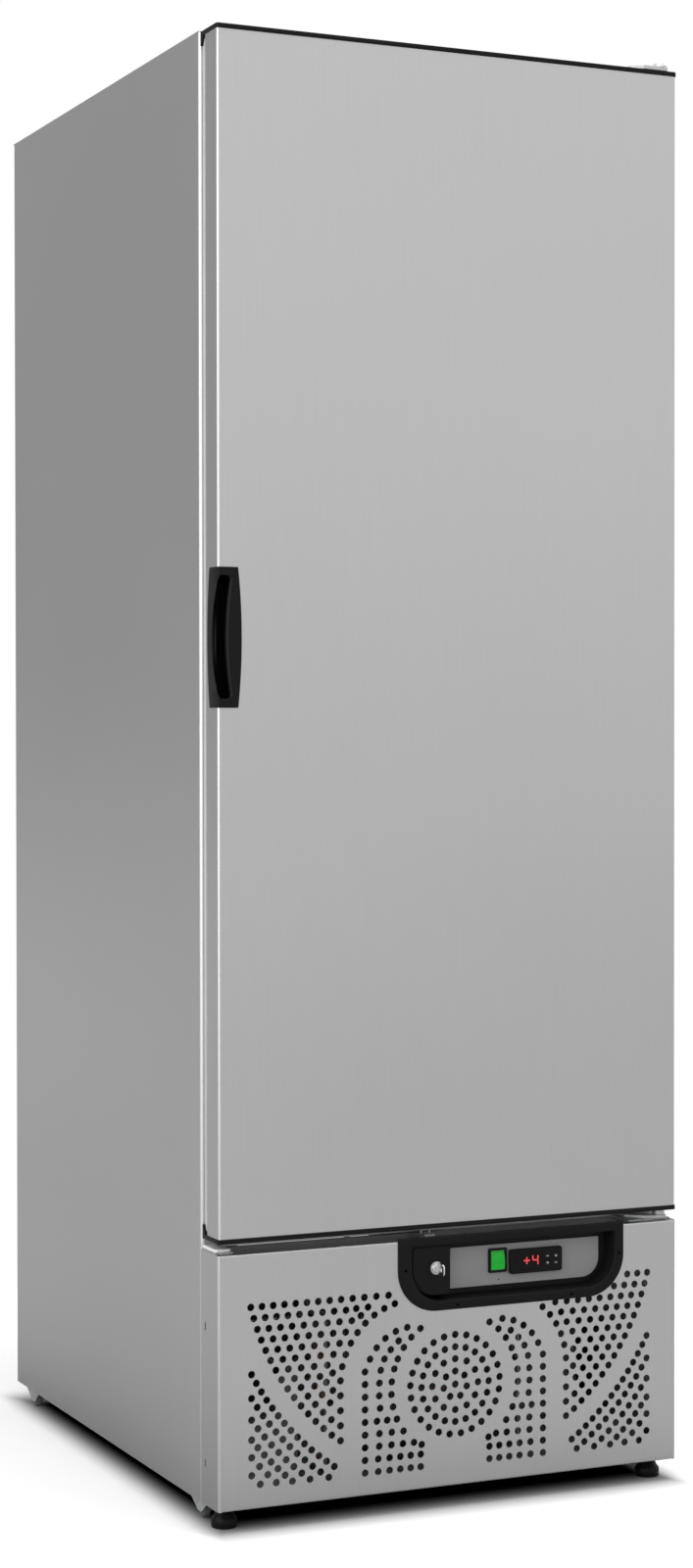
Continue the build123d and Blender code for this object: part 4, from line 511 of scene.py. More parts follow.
def corner_arc(before, corner, after, radius, steps):
    """Points of the arc that rounds a corner, in two or three dimensions."""
    to_before = (before - corner).normalized()
    to_after = (after - corner).normalized()
    half = to_before.angle(to_after) / 2
    if radius <= 0 or half > math.pi / 2 - 1e-4:
        return [corner]
    centre = corner + (to_before + to_after).normalized() * (radius / math.sin(half))
    first = corner + to_before * (radius / math.tan(half)) - centre
    last = corner + to_after * (radius / math.tan(half)) - centre
    sweep = first.angle(last)
    points = []
    for step in range(steps + 1):
        share = step / steps
        near, far = math.sin((1 - share) * sweep), math.sin(share * sweep)
        points.append(centre + (first * near + last * far) / math.sin(sweep))
    return points


def rounded(corners, steps=6):
    """A closed outline through corners given as (u, v, radius)."""
    places = [Vector(corner[:2]) for corner in corners]
    points = []
    for i, corner in enumerate(corners):
        after = places[(i + 1) % len(places)]
        points += corner_arc(places[i - 1], places[i], after, corner[2], steps)
    return points


def pane(left, right, low, high, radius=0.0, steps=6):
    """A rectangle with equal corners."""
    return rounded([(left, low, radius), (right, low, radius), (right, high, radius), (left, high, radius)],
                   steps)


def front_pane(e, inset=0.0, radius=0.0, steps=6):
    """The front outline of an extent, drawn in by an inset on all four sides."""
    return pane(e.left + inset, e.right - inset, e.low + inset, e.high - inset, radius, steps)


def circle(u, v, radius, sides):
    """A regular outline round a point."""
    turns = [2 * math.pi * k / sides for k in range(sides)]
    return [Vector((u + radius * math.cos(turn), v + radius * math.sin(turn))) for turn in turns]


def strip(path, thick, radius, steps=6):
    """The outline of a bent sheet. The path is its outer face, and the sheet lies inside the first bend."""
    path = [Vector(p) for p in path]
    along = [(b - a).normalized() for a, b in zip(path, path[1:])]
    inward = 1 if along[0].cross(along[1]) > 0 else -1
    normals = [Vector((-d.y, d.x)) * inward for d in along]
    outer, inner = [], []
    for i, point in enumerate(path):
        n1, n2 = normals[max(i - 1, 0)], normals[min(i, len(normals) - 1)]
        shift = (n1 + n2) / (1 + n1.dot(n2)) * thick
        bend = 0 if i in (0, len(path) - 1) else radius
        turns_in = bend and along[i - 1].cross(along[i]) * inward > 0
        outer.append((*point, bend if turns_in else max(bend - thick, 0)))
        inner.append((*(point + shift), max(bend - thick, 0) if turns_in else bend))
    return rounded(outer + inner[::-1], steps)

# %% [markdown]
# A skin joins rings of points, ring by ring, and caps the two ends.
# Pushing an outline is a skin over two rings, and turning a profile is a skin over many circles.

# %% Skins


def skin(bm, rings, capped=True, looped=False):
    """Faces through rings of equal counts of points."""
    rows = [[bm.verts.new(point) for point in ring] for ring in rings]
    count = len(rows[0])
    pairs = list(zip(rows, rows[1:])) + ([(rows[-1], rows[0])] if looped else [])
    for one, two in pairs:
        for k in range(count):
            bm.faces.new((one[k], one[(k + 1) % count], two[(k + 1) % count], two[k]))
    if capped and not looped:
        bm.faces.new(rows[0])
        bm.faces.new(rows[-1])


def upright(outline, depth):
    """A ring that stands upright at a depth, from an outline of x and z."""
    return [(x, depth, z) for x, z in outline]


def drawn(*pairs):
    """Pairs of a drawing's millimetres as Blender sizes."""
    return [(a * MM, b * MM) for a, b in pairs]


def along_axis(axis, u, v, w):
    """A point from its two places across an axis and its place along it."""
    return {"X": (w, u, v), "Y": (u, w, v), "Z": (u, v, w)}[axis]


def push(bm, outline, axis, start, stop):
    """A solid with an outline across an axis, between two places along it."""
    skin(bm, [[along_axis(axis, u, v, w) for u, v in outline] for w in sorted((start, stop))])


def brick(bm, left, right, front, back, low, high):
    """A square block, for plates and bars that a bevel softens."""
    push(bm, pane(left, right, front, back), "Z", low, high)


def lathe(bm, centre, axis, profile, sides=48, hollow=False):
    """A profile of (radius, place along the axis) turned about an axis through a centre."""
    u, v = {"X": (centre[1], centre[2]), "Y": (centre[0], centre[2]), "Z": (centre[0], centre[1])}[axis]
    base = centre["XYZ".index(axis)]
    skin(bm, [[along_axis(axis, p.x, p.y, base + along) for p in circle(u, v, radius, sides)]
              for radius, along in profile], looped=hollow)


def domed(profile_radius, height, start, steps=8, outward=1):
    """Profile points of a quarter round that closes a turned piece."""
    points = []
    for step in range(steps + 1):
        angle = math.pi / 2 * step / steps
        points.append((max(profile_radius * math.cos(angle), 0.02 * MM),
                       start + outward * height * math.sin(angle)))
    return points

# %% [markdown]
# A finished piece is a mesh with a bevel, smooth shading, a finish, and a body that it rides on.
# The nodes that it stands for give it that finish and that body, so a wrong name stops the script.

# %% Pieces


def piece(name, source, *nodes, bevel=0.0, slot=None, body=None, finish_name=None, angle=35, flat=False):
    """Makes an object from a mesh in progress, and lets it stand for nodes of the frame."""
    if isinstance(source, bmesh.types.BMesh):
        bmesh.ops.recalc_face_normals(source, faces=source.faces)
        mesh = bpy.data.meshes.new(name)
        source.to_mesh(mesh)
        source.free()
    else:
        mesh = source
    mesh.materials.clear()
    slot = slot or SLOTS[nodes[0]]
    mesh.materials.append(FINISHES[finish_name or slot])
    thing = add_object(name, mesh)
    mesh.shade_smooth()
    mesh.set_sharp_from_angle(angle=math.radians(angle))
    if flat:
        even = thing.modifiers.new("even_shading", "WEIGHTED_NORMAL")
        even.keep_sharp = True
    if bevel:
        soften = thing.modifiers.new("soft_edges", "BEVEL")
        soften.width = bevel
        soften.segments = 2
        soften.limit_method = "ANGLE"
        soften.angle_limit = math.radians(angle)
        soften.harden_normals = True
    if nodes:
        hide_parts(*nodes)
    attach(thing, body or frame["nodes"][nodes[0]]["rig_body"])
    print(f"{name}: {len(mesh.polygons)} faces")
    return thing


def settled_mesh(thing):
    """The mesh of an object as its modifiers or its curve leave it."""
    bpy.context.view_layer.update()
    graph = bpy.context.evaluated_depsgraph_get()
    return bpy.data.meshes.new_from_object(thing.evaluated_get(graph))


def cut(thing, cutter):
    """Takes a shape away from a piece, before its bevel is worked out."""
    mesh = bpy.data.meshes.new("cutter")
    bmesh.ops.recalc_face_normals(cutter, faces=cutter.faces)
    cutter.to_mesh(mesh)
    cutter.free()
    tool = add_object("cutter", mesh)
    take = thing.modifiers.new("take_away", "BOOLEAN")
    take.object = tool
    take.solver = "EXACT"
    while thing.modifiers[0] != take:
        thing.modifiers.move(thing.modifiers.find(take.name), 0)
    others = [modifier for modifier in thing.modifiers if modifier != take]
    for modifier in others:
        modifier.show_viewport = False
    thing.data = settled_mesh(thing)
    thing.modifiers.remove(take)
    for modifier in others:
        modifier.show_viewport = True
    bpy.data.objects.remove(tool)


def softened(node, width):
    """A copy of a node of the frame with whole flat faces and rounded edges, which replaces it."""
    bm = bmesh.new()
    bm.from_mesh(frame["nodes"][node].data)
    bmesh.ops.remove_doubles(bm, verts=bm.verts, dist=0.002 * MM)
    bmesh.ops.dissolve_limit(bm, angle_limit=math.radians(1), verts=bm.verts, edges=bm.edges)
    return piece(f"{node}_finished", bm, node, bevel=width)

# %% [markdown]
# A sheet with many holes is easiest as a flat curve: one outer spline, one spline a hole, and a fill.
# Its extrusion gives the thickness, and its bevel rounds the rim of every hole as a punch does.

# %% Punched sheets


def add_path(curve, places, closed):
    """Adds a row of straight pieces to a curve."""
    spline = curve.splines.new("POLY")
    spline.points.add(len(places) - 1)
    spline.use_cyclic_u = closed
    for point, place in zip(spline.points, places):
        point.co = (*place, 1)


def curve_mesh(curve):
    """The mesh that a curve makes."""
    holder = add_object(curve.name, curve)
    mesh = settled_mesh(holder)
    bpy.data.objects.remove(holder)
    return mesh


def punched(outline, holes, axis, start, thick, lip=0.15 * MM):
    """A mesh of a flat plate with holes, across an axis, from start to start plus thick."""
    curve = bpy.data.curves.new("punched", "CURVE")
    curve.dimensions = "2D"
    curve.fill_mode = "BOTH"
    curve.extrude = thick / 2 - lip
    curve.bevel_depth = lip
    curve.bevel_resolution = 1
    curve.offset = -lip
    for ring in [outline] + [hole[::-1] for hole in holes]:
        add_path(curve, [(u, v, 0) for u, v in ring], True)
    mesh = curve_mesh(curve)
    for vertex in mesh.vertices:
        u, v, w = vertex.co
        vertex.co = along_axis(axis, u, v, start + thick / 2 + w)
    return mesh


def add_mesh(bm, mesh):
    """Adds a finished mesh to a mesh in progress."""
    bm.from_mesh(mesh)
    bpy.data.meshes.remove(mesh)

# %% [markdown]
# Wires and pipes are curves with a round bevel: Blender keeps their section round along every bend.
# A path given as corners gets an arc at each, and straight wires simply have two points.

# %% Wires and pipes


def bent(corners, radius, steps=8):
    """Points of a path with rounded corners."""
    corners = [Vector(c) for c in corners]
    points = [corners[0]]
    for before, corner, after in zip(corners, corners[1:], corners[2:]):
        points += corner_arc(before, corner, after, radius, steps)
    return points + [corners[-1]]


def rods(name, paths, radius, *nodes, closed=False, sides=3, **options):
    """One piece made of round rods along paths."""
    curve = bpy.data.curves.new(name, "CURVE")
    curve.dimensions = "3D"
    curve.bevel_depth = radius
    curve.bevel_resolution = sides
    curve.use_fill_caps = True
    for path in paths:
        add_path(curve, path, closed)
    piece(name, curve_mesh(curve), *nodes, **options)


def evenly(start, stop, count):
    """Places from start to stop at even steps."""
    return [start + (stop - start) * k / (count - 1) for k in range(count)]

# %% [markdown]
# The casing's sides are single sheets, folded in at the front and at the back.
# The fold is never a knife edge: its small radius catches the light as a thin bright line.
# A bent strip pushed upwards gives exactly that, and the frame gives where it starts and stops.

# %% Side panels
REAR_FOLD = 20 * MM
for side, node in ((-1, "side_panel_left"), (1, "side_panel_right")):
    e = extent(node)
    outer = e.left if side < 0 else e.right
    inner = e.right if side < 0 else e.left
    path = [(inner, e.front), (outer, e.front), (outer, e.back), (outer - side * REAR_FOLD, e.back)]
    bm = bmesh.new()
    push(bm, strip(path, SHEET, CASING_FOLD), "Z", e.low, e.high)
    piece(f"{node}_sheet", bm, node)

# %% [markdown]
# The top, the back and the hidden sheets are flat enough that their nodes have the right shape.
# A copy with merged faces and rounded edges is all that they need to look like cut metal.
# The foam behind them steps back at its four upright corners, to leave room for the round folds.

# %% Flat sheets
rear = softened("rear_panel", 0.3 * MM)
for node, width in (("top_panel", 0.5), ("machine_deck", 0.3), ("base_frame", 0.4),
                    ("front_frame", 0.3), ("hinge_mounts", 0.5), ("door_liner", 0.6),
                    ("electrical_box", 2.0), ("lock_bolt", 0.4), ("shelf_clips", 0.3)):
    softened(node, width * MM)

foam = softened("insulation_foam", 0.3 * MM)
e = extent("insulation_foam")
bm = bmesh.new()
for x in (e.left, e.right):
    for y in (e.front, e.back):
        brick(bm, x - CASING_FOLD, x + CASING_FOLD, y - CASING_FOLD, y + CASING_FOLD,
              e.low - 1 * MM, e.high + 1 * MM)
cut(foam, bm)

# %% [markdown]
# Countersunk screws hold the back sheet, flush with it, so that the cabinet can stand against a wall.
# Each sits in a dimple that is cut from the sheet, and a folded lip closes the sheet's lower edge.

# %% Sheet screws


def screw_head(bm, place, axis, radius):
    """A domed head with a dip for the driver."""
    rise = 0.45 * radius
    profile = [(radius, 0), (radius, rise * 0.35), (radius * 0.86, rise * 0.8), (radius * 0.55, rise),
               (radius * 0.42, rise), (radius * 0.34, rise * 0.3), (0.02 * MM, rise * 0.2)]
    lathe(bm, place, axis, profile, 20)


SCREWS_A_SIDE = 7
SCREW_INSET = 12 * MM
SCREW_END = 40 * MM
e = extent("rear_panel")
heads, dimples = bmesh.new(), bmesh.new()
for side in (-1, 1):
    for z in evenly(e.low + SCREW_END, e.high - SCREW_END, SCREWS_A_SIDE):
        place = (side * (e.right - SCREW_INSET), e.back, z)
        lathe(dimples, place, "Y", drawn((2, -0.9), (3.9, 0.1)), 24)
        head = drawn((0.6, -0.8), (0.8, -0.35), (1.4, -0.15), (3.2, -0.1), (3.3, -0.3), (1.9, -1))
        lathe(heads, place, "Y", head, 24)
cut(rear, dimples)
piece("rear_screws", heads, slot="bright_steel", body="cabinet")
bm = bmesh.new()
TRAY_BACK, TRAY_TOP = extent("base_frame").back, extent("base_frame").high
lip = [(e.front - 0.2 * MM, e.low + 12 * MM), (e.front - 0.2 * MM, TRAY_TOP + 0.2 * MM),
       (TRAY_BACK - 1 * MM, TRAY_TOP + 0.2 * MM)]
push(bm, strip(lip, SHEET, FOLD), "X", e.left + 1 * MM, e.right - 1 * MM)
piece("rear_panel_lip", bm, slot="galvanised", body="cabinet")

# %% [markdown]
# The air holes make a pattern of four families of curves, mirrored about the middle of the panel:
# a disc of rings, an arch round the disc, an upper field and a lower field.
# The same rules in the drawing's millimetres give every hole here, and a loop keeps it readable.

# %% Air hole rules
HOLE = 5 * MM
HOLE_SIDES = 24
DISC_CENTRE = (0, 169)
DISC_RINGS = ((0, 1), (18, 7), (35, 12), (51.5, 20), (68.5, 25))
COLLAR = 97
ARCH_CENTRE = (-65.6, 183)
ARCH_OUTER = 70.8
ARCH_LEFT = -136.3
ARCH_RIGHT = -52.7
ARCH_LEGS = (3, 3, 3, 3, 4, 4, 5, 6, 6)
ARCH_ROW_TOP = 198.3
ARCH_ROW_STEP = 17.2
FIELD_CENTRE = (35, 389)
FIELD_RADIUS = 350
FIELD_STEP = 15.6
FIELD_TURN = 2.58
FIELD_ROWS = 16
FIELD_EDGE = 107.5
FIELD_SIDE = -172.8
FIELD_INFILL = ((-149.3, 285.5), (-142.5, 275.3), (-131.7, 286), (-203, 198.2), (-184.3, 201.3),
                (-193.5, 189.5), (-184, 177.7))
HOLE_GAP = 12.5
LOWER_LEFT = -302.4
LOWER_RINGS = ((382, 14, 2.11), (398, 12, 2.14), (414, 9, 2.12), (430, 7, 1.89), (445, 4, 2.2),
               (461, 2, 2.2))


def on_circle(centre, radius, degrees):
    """A point of a circle, with the angle counted from the right towards the top."""
    angle = math.radians(degrees)
    return centre[0] + radius * math.cos(angle), centre[1] + radius * math.sin(angle)


def disc_holes():
    """Rings of holes round the centre, each starting at its top."""
    for radius, count in DISC_RINGS:
        for i in range(count):
            yield on_circle(DISC_CENTRE, radius, 90 + 360 * i / count)


def arch_holes():
    """Left half of the arch: a crown of three curves over a leg of level rows."""
    for i in range(5):
        yield on_circle(ARCH_CENTRE, ARCH_OUTER, 96 + 14.3 * i)
    for i in range(4):
        yield on_circle(DISC_CENTRE, COLLAR, 123.1 + 10.3 * i)
    for i in range(3):
        yield on_circle(ARCH_CENTRE, 50.5 + 6.3 * 0.4**i, 111 + 16.5 * i)
    for row, count in enumerate(ARCH_LEGS):
        z = ARCH_ROW_TOP - ARCH_ROW_STEP * row
        reach = math.sqrt(COLLAR**2 - (z - DISC_CENTRE[1]) ** 2) if z > DISC_CENTRE[1] - COLLAR else 0
        right = min(-reach, ARCH_RIGHT)
        for i in range(count):
            yield ARCH_LEFT + (right - ARCH_LEFT) * (i / (count - 1)) ** 0.9, z
    yield ARCH_RIGHT + 1.5, 91


def field_holes():
    """Left upper field: rows that fill the space between a great arc and the arch."""
    edge = [on_circle(ARCH_CENTRE, FIELD_EDGE, 104 + 8.9 * i) for i in range(8)]
    edge += [(FIELD_SIDE, 189.7 - 20.3 * i) for i in range(5)]
    edge += FIELD_INFILL
    yield from edge
    cx, cz = FIELD_CENTRE
    for row in range(FIELD_ROWS):
        z = cz + FIELD_RADIUS * math.sin(math.radians(194.8 + FIELD_TURN * row))
        for k in range(14):
            reach = FIELD_RADIUS - FIELD_STEP * k
            if reach <= cz - z:
                break
            place = (cx - math.sqrt(reach**2 - (cz - z) ** 2), z)
            beyond_arch = math.dist(place, ARCH_CENTRE) > FIELD_EDGE or z < ARCH_CENTRE[1]
            left_of_edge = place[0] < FIELD_SIDE or z > ARCH_CENTRE[1]
            clear = all(math.dist(place, other) > HOLE_GAP for other in edge)
            if beyond_arch and left_of_edge and place[0] < -98 and clear:
                yield place


def lower_holes():
    """Left lower field: arcs about the upper field's centre, all from one upright line."""
    for radius, count, step in LOWER_RINGS:
        start = 270 - math.degrees(math.asin((FIELD_CENTRE[0] - LOWER_LEFT) / radius))
        for i in range(count):
            yield on_circle(FIELD_CENTRE, radius, start + step * i)

# %% [markdown]
# The holes stop at the rim of the control bezel, a tray shape with two large lower corners.
# The same outline makes the panel's cut-out, the bezel's rim and its recess, only at other insets.

# %% Bezel outline and air holes
BEZEL = extent("control_bezel")
BEZEL_RADIUS = 58 * MM
TUB_INSET = 8 * MM
RIM_MARGIN = 2.5 * MM


def tray(left, right, low, top, radius, top_radius=0.0):
    """An outline with square top corners and two large round corners below."""
    return rounded([(left, low, radius), (right, low, radius), (right, top, top_radius),
                    (left, top, top_radius)], 12)


def all_holes():
    """Centres of the air holes, clear of the controls."""
    left = list(arch_holes()) + list(field_holes()) + list(lower_holes())
    places = list(disc_holes()) + left + [(-x, z) for x, z in left]
    level = BEZEL.low + BEZEL_RADIUS
    kept = []
    for x, z in drawn(*places):
        near = BEZEL.left - RIM_MARGIN < x < BEZEL.right + RIM_MARGIN and z > BEZEL.low - RIM_MARGIN
        for corner in (BEZEL.left + BEZEL_RADIUS, BEZEL.right - BEZEL_RADIUS):
            outside = x < corner if corner < 0 else x > corner
            if outside and z < level and math.dist((x, z), (corner, level)) > BEZEL_RADIUS + RIM_MARGIN:
                near = False
        if not near:
            kept.append((x, z))
    return kept


HOLES = all_holes()
print("air holes:", len(HOLES))

# %% [markdown]
# The base panel is one sheet: a punched face, two side folds, a top fold and a bottom lip.
# The face is a filled curve with its holes. The folds are bent strips that start where it stops,
# so the surfaces meet without a step and the holes stay round.

# %% Base panel
e = extent("front_grille_panel")
FACE_EDGE = CORNER_FOLD + 0.2 * MM
LOWER_LIP = 16 * MM
UPPER_LIP = 6.8 * MM
cutout = tray(BEZEL.left + TUB_INSET, BEZEL.right - TUB_INSET, BEZEL.low + TUB_INSET, e.high - 6 * MM,
              BEZEL_RADIUS - TUB_INSET)
rims = [cutout] + [circle(x, z, HOLE, HOLE_SIDES) for x, z in HOLES]
bm = bmesh.new()
add_mesh(bm, punched(front_pane(e, FACE_EDGE), rims, "Y", e.front, SHEET))
for side in (-1, 1):
    outer = e.right if side > 0 else e.left
    flange = [(outer - side * FACE_EDGE, e.front), (outer, e.front), (outer, e.back)]
    push(bm, strip(flange, SHEET, CORNER_FOLD), "Z", e.low + FACE_EDGE, e.high - FACE_EDGE)
for edge, start, lip in ((e.low, e.low + FACE_EDGE, LOWER_LIP), (e.high, e.high - FACE_EDGE, UPPER_LIP)):
    path = [(e.front, start), (e.front, edge), (e.front + lip, edge)]
    push(bm, strip(path, SHEET, FOLD), "X", e.left + FACE_EDGE, e.right - FACE_EDGE)
for side in (-1, 1):
    for low, high in ((e.low, e.low + FACE_EDGE), (e.high - FACE_EDGE, e.high)):
        outer = e.right if side > 0 else e.left
        inner = outer - side * FACE_EDGE
        inside = outer - side * SHEET
        corner = [(inner, e.front, 0), (outer, e.front, CORNER_FOLD), (outer, e.back, 0),
                  (inside, e.back, 0), (inside, e.front + SHEET, CORNER_FOLD - SHEET),
                  (inner, e.front + SHEET, 0)]
        push(bm, rounded(corner), "Z", low, high)
panel = piece("base_panel", bm, "front_grille_panel", flat=True)

SLOT_LEVELS = (86 * MM, 270 * MM)
bm = bmesh.new()
for z in SLOT_LEVELS:
    brick(bm, e.left - 5 * MM, e.right + 5 * MM, y_at(45), y_at(48), z - 5 * MM, z + 5 * MM)
cut(panel, bm)

# %% [markdown]
# The panel's top fold is a shelf under the door. It has a slot for the lock bolt between bright guides,
# and open corners where the two hinge mounts come through, so it is a flat outline of its own.
# A pale cover closes the left mount, which waits for the hinge when the door is hung the other way round.
# Its pale colour is partly the cover's own and partly a painted highlight for that corner.

# %% Top fold of the base panel
HINGE_NOTCH = 71 * MM
BLANK_NOTCH = 28 * MM
BOLT_LEFT = -38 * MM
BOLT_RIGHT = -12 * MM
shelf = pane(e.left + BLANK_NOTCH, e.right - HINGE_NOTCH, e.front + UPPER_LIP, e.back)
bolt_slot = pane(BOLT_LEFT, BOLT_RIGHT, y_at(32.5), y_at(40.5), 1 * MM, 3)
mesh = punched(shelf, [bolt_slot], "Z", e.high - SHEET, SHEET)
piece("base_panel_top_fold", mesh, slot="stainless", body="cabinet", flat=True)
bm = bmesh.new()
brick(bm, -33 * MM, -17 * MM, y_at(27), y_at(31), e.high - 0.5 * MM, e.high + 2.2 * MM)
left, right, low, high = -32.5 * MM, -17.5 * MM, e.high - 0.5 * MM, e.high + 9.4 * MM
bridge = [(left, low), (left, high), (right, high), (right, low)]
push(bm, strip(bridge, 2.6 * MM, 3 * MM), "Y", y_at(42), y_at(46))
piece("bolt_guides", bm, slot="bright_steel", finish_name="zinc", body="cabinet", bevel=0.4 * MM)
left, right = -348.2 * MM, -325 * MM
blank = rounded([(left, y_at(15), 4 * MM), (right, y_at(15), 4 * MM), (right, y_at(60), 1 * MM),
                 (left, y_at(60), 1 * MM)])
mount_top = extent("hinge_mounts").high
bm = bmesh.new()
push(bm, blank, "Z", mount_top, mount_top + 4 * MM)
piece("blank_cover", bm, slot="nylon", body="cabinet", bevel=1 * MM)

# %% [markdown]
# The control bezel is a thick moulding: a rounded rim, a drafted tub behind it, and a block
# that brings the lock forward. A skin over tray outlines of falling size draws rim and tub in one.

# %% Control bezel
RECESS_SIDES = (-66.5 * MM, 249.5 * MM, 286 * MM, 362.5 * MM)
RECESS_RADIUS = 45 * MM
RIM_ROUND = 1.6 * MM
BLOCK_RIGHT = -8.5 * MM


def bezel_ring(share, inset, depth):
    """A ring of the bezel between its outline (share 0) and its recess (share 1)."""
    outer = (BEZEL.left, BEZEL.right, BEZEL.low, BEZEL.high)
    left, right, low, top = [a + (b - a) * share for a, b in zip(outer, RECESS_SIDES)]
    radius = BEZEL_RADIUS + (RECESS_RADIUS - BEZEL_RADIUS) * share - inset
    return upright(tray(left + inset, right - inset, low + inset, top - inset, radius, 3 * MM), depth)


FRONT = BEZEL.front
RECESS_FLOOR = y_at(20)
rings = [bezel_ring(0, TUB_INSET, y_at(22)), bezel_ring(0, TUB_INSET, y_at(0)), bezel_ring(0, 0, y_at(0)),
         bezel_ring(0, 0, FRONT + RIM_ROUND)]
for share, inward, steps in ((0, 1, (1, 2, 3, 4)), (1, -1, (4, 3, 2, 1, 0))):
    for step in steps:
        angle = math.radians(22.5 * step)
        rings.append(bezel_ring(share, inward * RIM_ROUND * (1 - math.cos(angle)),
                                FRONT + RIM_ROUND * (1 - math.sin(angle))))
rings.append(bezel_ring(1, 4 * MM, RECESS_FLOOR))
bm = bmesh.new()
skin(bm, rings)
for inset, front, back in ((1 * MM, y_at(3), RECESS_FLOOR), (3 * MM, y_at(1.2), y_at(3.5))):
    left, low, top = RECESS_SIDES[0] + inset, RECESS_SIDES[2] + 6.5 * MM + inset, RECESS_SIDES[3] - inset
    block = rounded([(left, low, RECESS_RADIUS - 8 * MM), (BLOCK_RIGHT, low, 1 * MM),
                     (BLOCK_RIGHT, top, 1 * MM), (left, top, 3 * MM)], 12)
    push(bm, block, "Y", front, back)
piece("bezel_moulding", bm, "control_bezel", angle=40)

# %% [markdown]
# Four plugs close the screw holes of the rim. They read as small dimples in the black.
# Four domed screws hold the plate of the upper hinge, and a turned profile draws both kinds.

# %% Rim plugs and hinge screws
RIM_SCREWS = ((-76, 331), (3, 278.7), (181, 278.7), (257, 331))
HINGE_SCREWS = ((334, 84), (334, 106), (298, 88), (298, 106))
DIMPLE = drawn((3, 0), (3, -0.4), (2.6, -0.6), (2.1, -0.55), (1.6, 0.1), (0.02, 0.2))
bm = bmesh.new()
for x, z in drawn(*RIM_SCREWS):
    lathe(bm, (x, FRONT, z), "Y", DIMPLE, 24)
piece("rim_plugs", bm, slot="black_plastic", body="cabinet")
screw_seat = extent("screws").high - 3 * MM
bm = bmesh.new()
for x, depth in HINGE_SCREWS:
    screw_head(bm, (x * MM, y_at(depth), screw_seat), "Z", 5 * MM)
piece("hinge_screws", bm, "screws")

# %% [markdown]
# The fascia at the bottom of the recess is a grey plate with one large round corner.
# A small dark lens sits in it beside the switch, and is turned like the plugs.

# %% Fascia
e = extent("control_fascia")
bm = bmesh.new()
plate = rounded([(e.left, e.low, 1 * MM), (e.right, e.low, 27 * MM), (e.right, e.high, 1 * MM),
                 (e.left, e.high, 1 * MM)], 12)
push(bm, plate, "Y", e.front, e.back)
piece("fascia_plate", bm, "control_fascia", bevel=0.5 * MM)
bm = bmesh.new()
lathe(bm, (76 * MM, e.front, 304.4 * MM), "Y", drawn((1.1, 0.2), (1.1, -0.1), (0.9, -0.2)), 20)
piece("fascia_lamp", bm, slot="smoked_lens", body="cabinet")

# %% [markdown]
# The switch is a green rocker in a black frame. Its face is a shallow curve that leans with its tilt,
# so one profile seen from the side, pushed across its width, makes it.

# %% Rocker switch
e = extent("rocker_frame")
well = extent("rocker")
outside = front_pane(e, 0, 1.5 * MM)
rim = front_pane(e, 0.8 * MM, 1.2 * MM)
opening = front_pane(well, -0.4 * MM, 0.8 * MM)
bm = bmesh.new()
skin(bm, [upright(outside, y_at(18)), upright(outside, e.front + 1 * MM), upright(rim, e.front),
          upright(opening, e.front), upright(opening, y_at(30))], capped=False)
piece("switch_frame", bm, "rocker_frame", bevel=0.2 * MM)

e = well
TILT = math.radians(-6)
tall = e.high - e.low
profile = []
for share in evenly(-1, 1, 11):
    profile.append((-5.2 * MM + 2.1 * MM * share**2, share * tall / 2 * 0.985))
profile += [(4 * MM, tall / 2), (4 * MM, -tall / 2)]
leaned = []
for u, v in profile:
    y = y_at(20) + u * math.cos(TILT) - v * math.sin(TILT)
    z = e.z + u * math.sin(TILT) + v * math.cos(TILT)
    leaned.append((min(max(y, e.front), e.back), min(max(z, e.low), e.high)))
bm = bmesh.new()
push(bm, leaned, "X", e.left, e.right)
piece("rocker_cap", bm, "rocker", bevel=0.5 * MM, angle=25)

# %% [markdown]
# The thermostat is a rounded black housing with a smoked window and four keys.
# The housing is cut open for them, so that each key stands in a pocket with a thin dark gap.

# %% Thermostat
KEYS = ("button_set", "button_up", "button_down", "button_defrost")
KEY_GAP = 0.3 * MM
e = extent("thermostat_housing")
lens = extent("thermostat_lens")
body = front_pane(e, 0, 3.5 * MM)
bm = bmesh.new()
skin(bm, [upright(body, y_at(18)), upright(body, e.front + 1.1 * MM),
          upright(front_pane(e, 0.9 * MM, 2.8 * MM), e.front)])
housing = piece("thermostat_body", bm, "thermostat_housing", bevel=0.25 * MM)
bm = bmesh.new()
push(bm, front_pane(lens, 0, 1 * MM), "Y", e.front - 3 * MM, e.front + 1.9 * MM)
for node in KEYS:
    push(bm, front_pane(extent(node), -KEY_GAP, 1 * MM), "Y", e.front - 3 * MM, e.front + 3 * MM)
cut(housing, bm)
bm = bmesh.new()
push(bm, front_pane(lens, 0.05 * MM, 1 * MM), "Y", lens.front + 0.4 * MM, lens.back - 0.1 * MM)
piece("thermostat_window", bm, "thermostat_lens", bevel=0.2 * MM)
for node in KEYS:
    key = extent(node)
    rings = [upright(front_pane(key, 0, 1 * MM), key.back)]
    for inset, behind in ((0, 0.9), (0.35, 0.35), (1.1, 0.08), (2.6, 0)):
        outline = front_pane(key, inset * MM, max(1 - inset, 0.2) * MM)
        rings.append(upright(outline, key.front + behind * MM))
    bm = bmesh.new()
    skin(bm, rings)
    piece(f"{node}_cap", bm, node)

# %% [markdown]
# The display shows a red plus sign and a figure, made of short bars that sit on the window's face.
# Each key carries a small printed triangle or bar, as plain controls do.

# %% Digits and key marks
DIGIT_FACE = lens.front + 0.38 * MM
STROKE = 1.5 * MM


def bar(bm, x0, z0, x1, z1, width, face, thick):
    """A flat stroke between two points, with pointed ends as a display segment has."""
    start, end = Vector((x0, z0)), Vector((x1, z1))
    along = (end - start).normalized()
    across = Vector((-along.y, along.x)) * width / 2
    tip = along * width / 2
    outline = [start, start + tip - across, end - tip - across, end, end - tip + across,
               start + tip + across]
    push(bm, outline, "Y", face - thick, face)


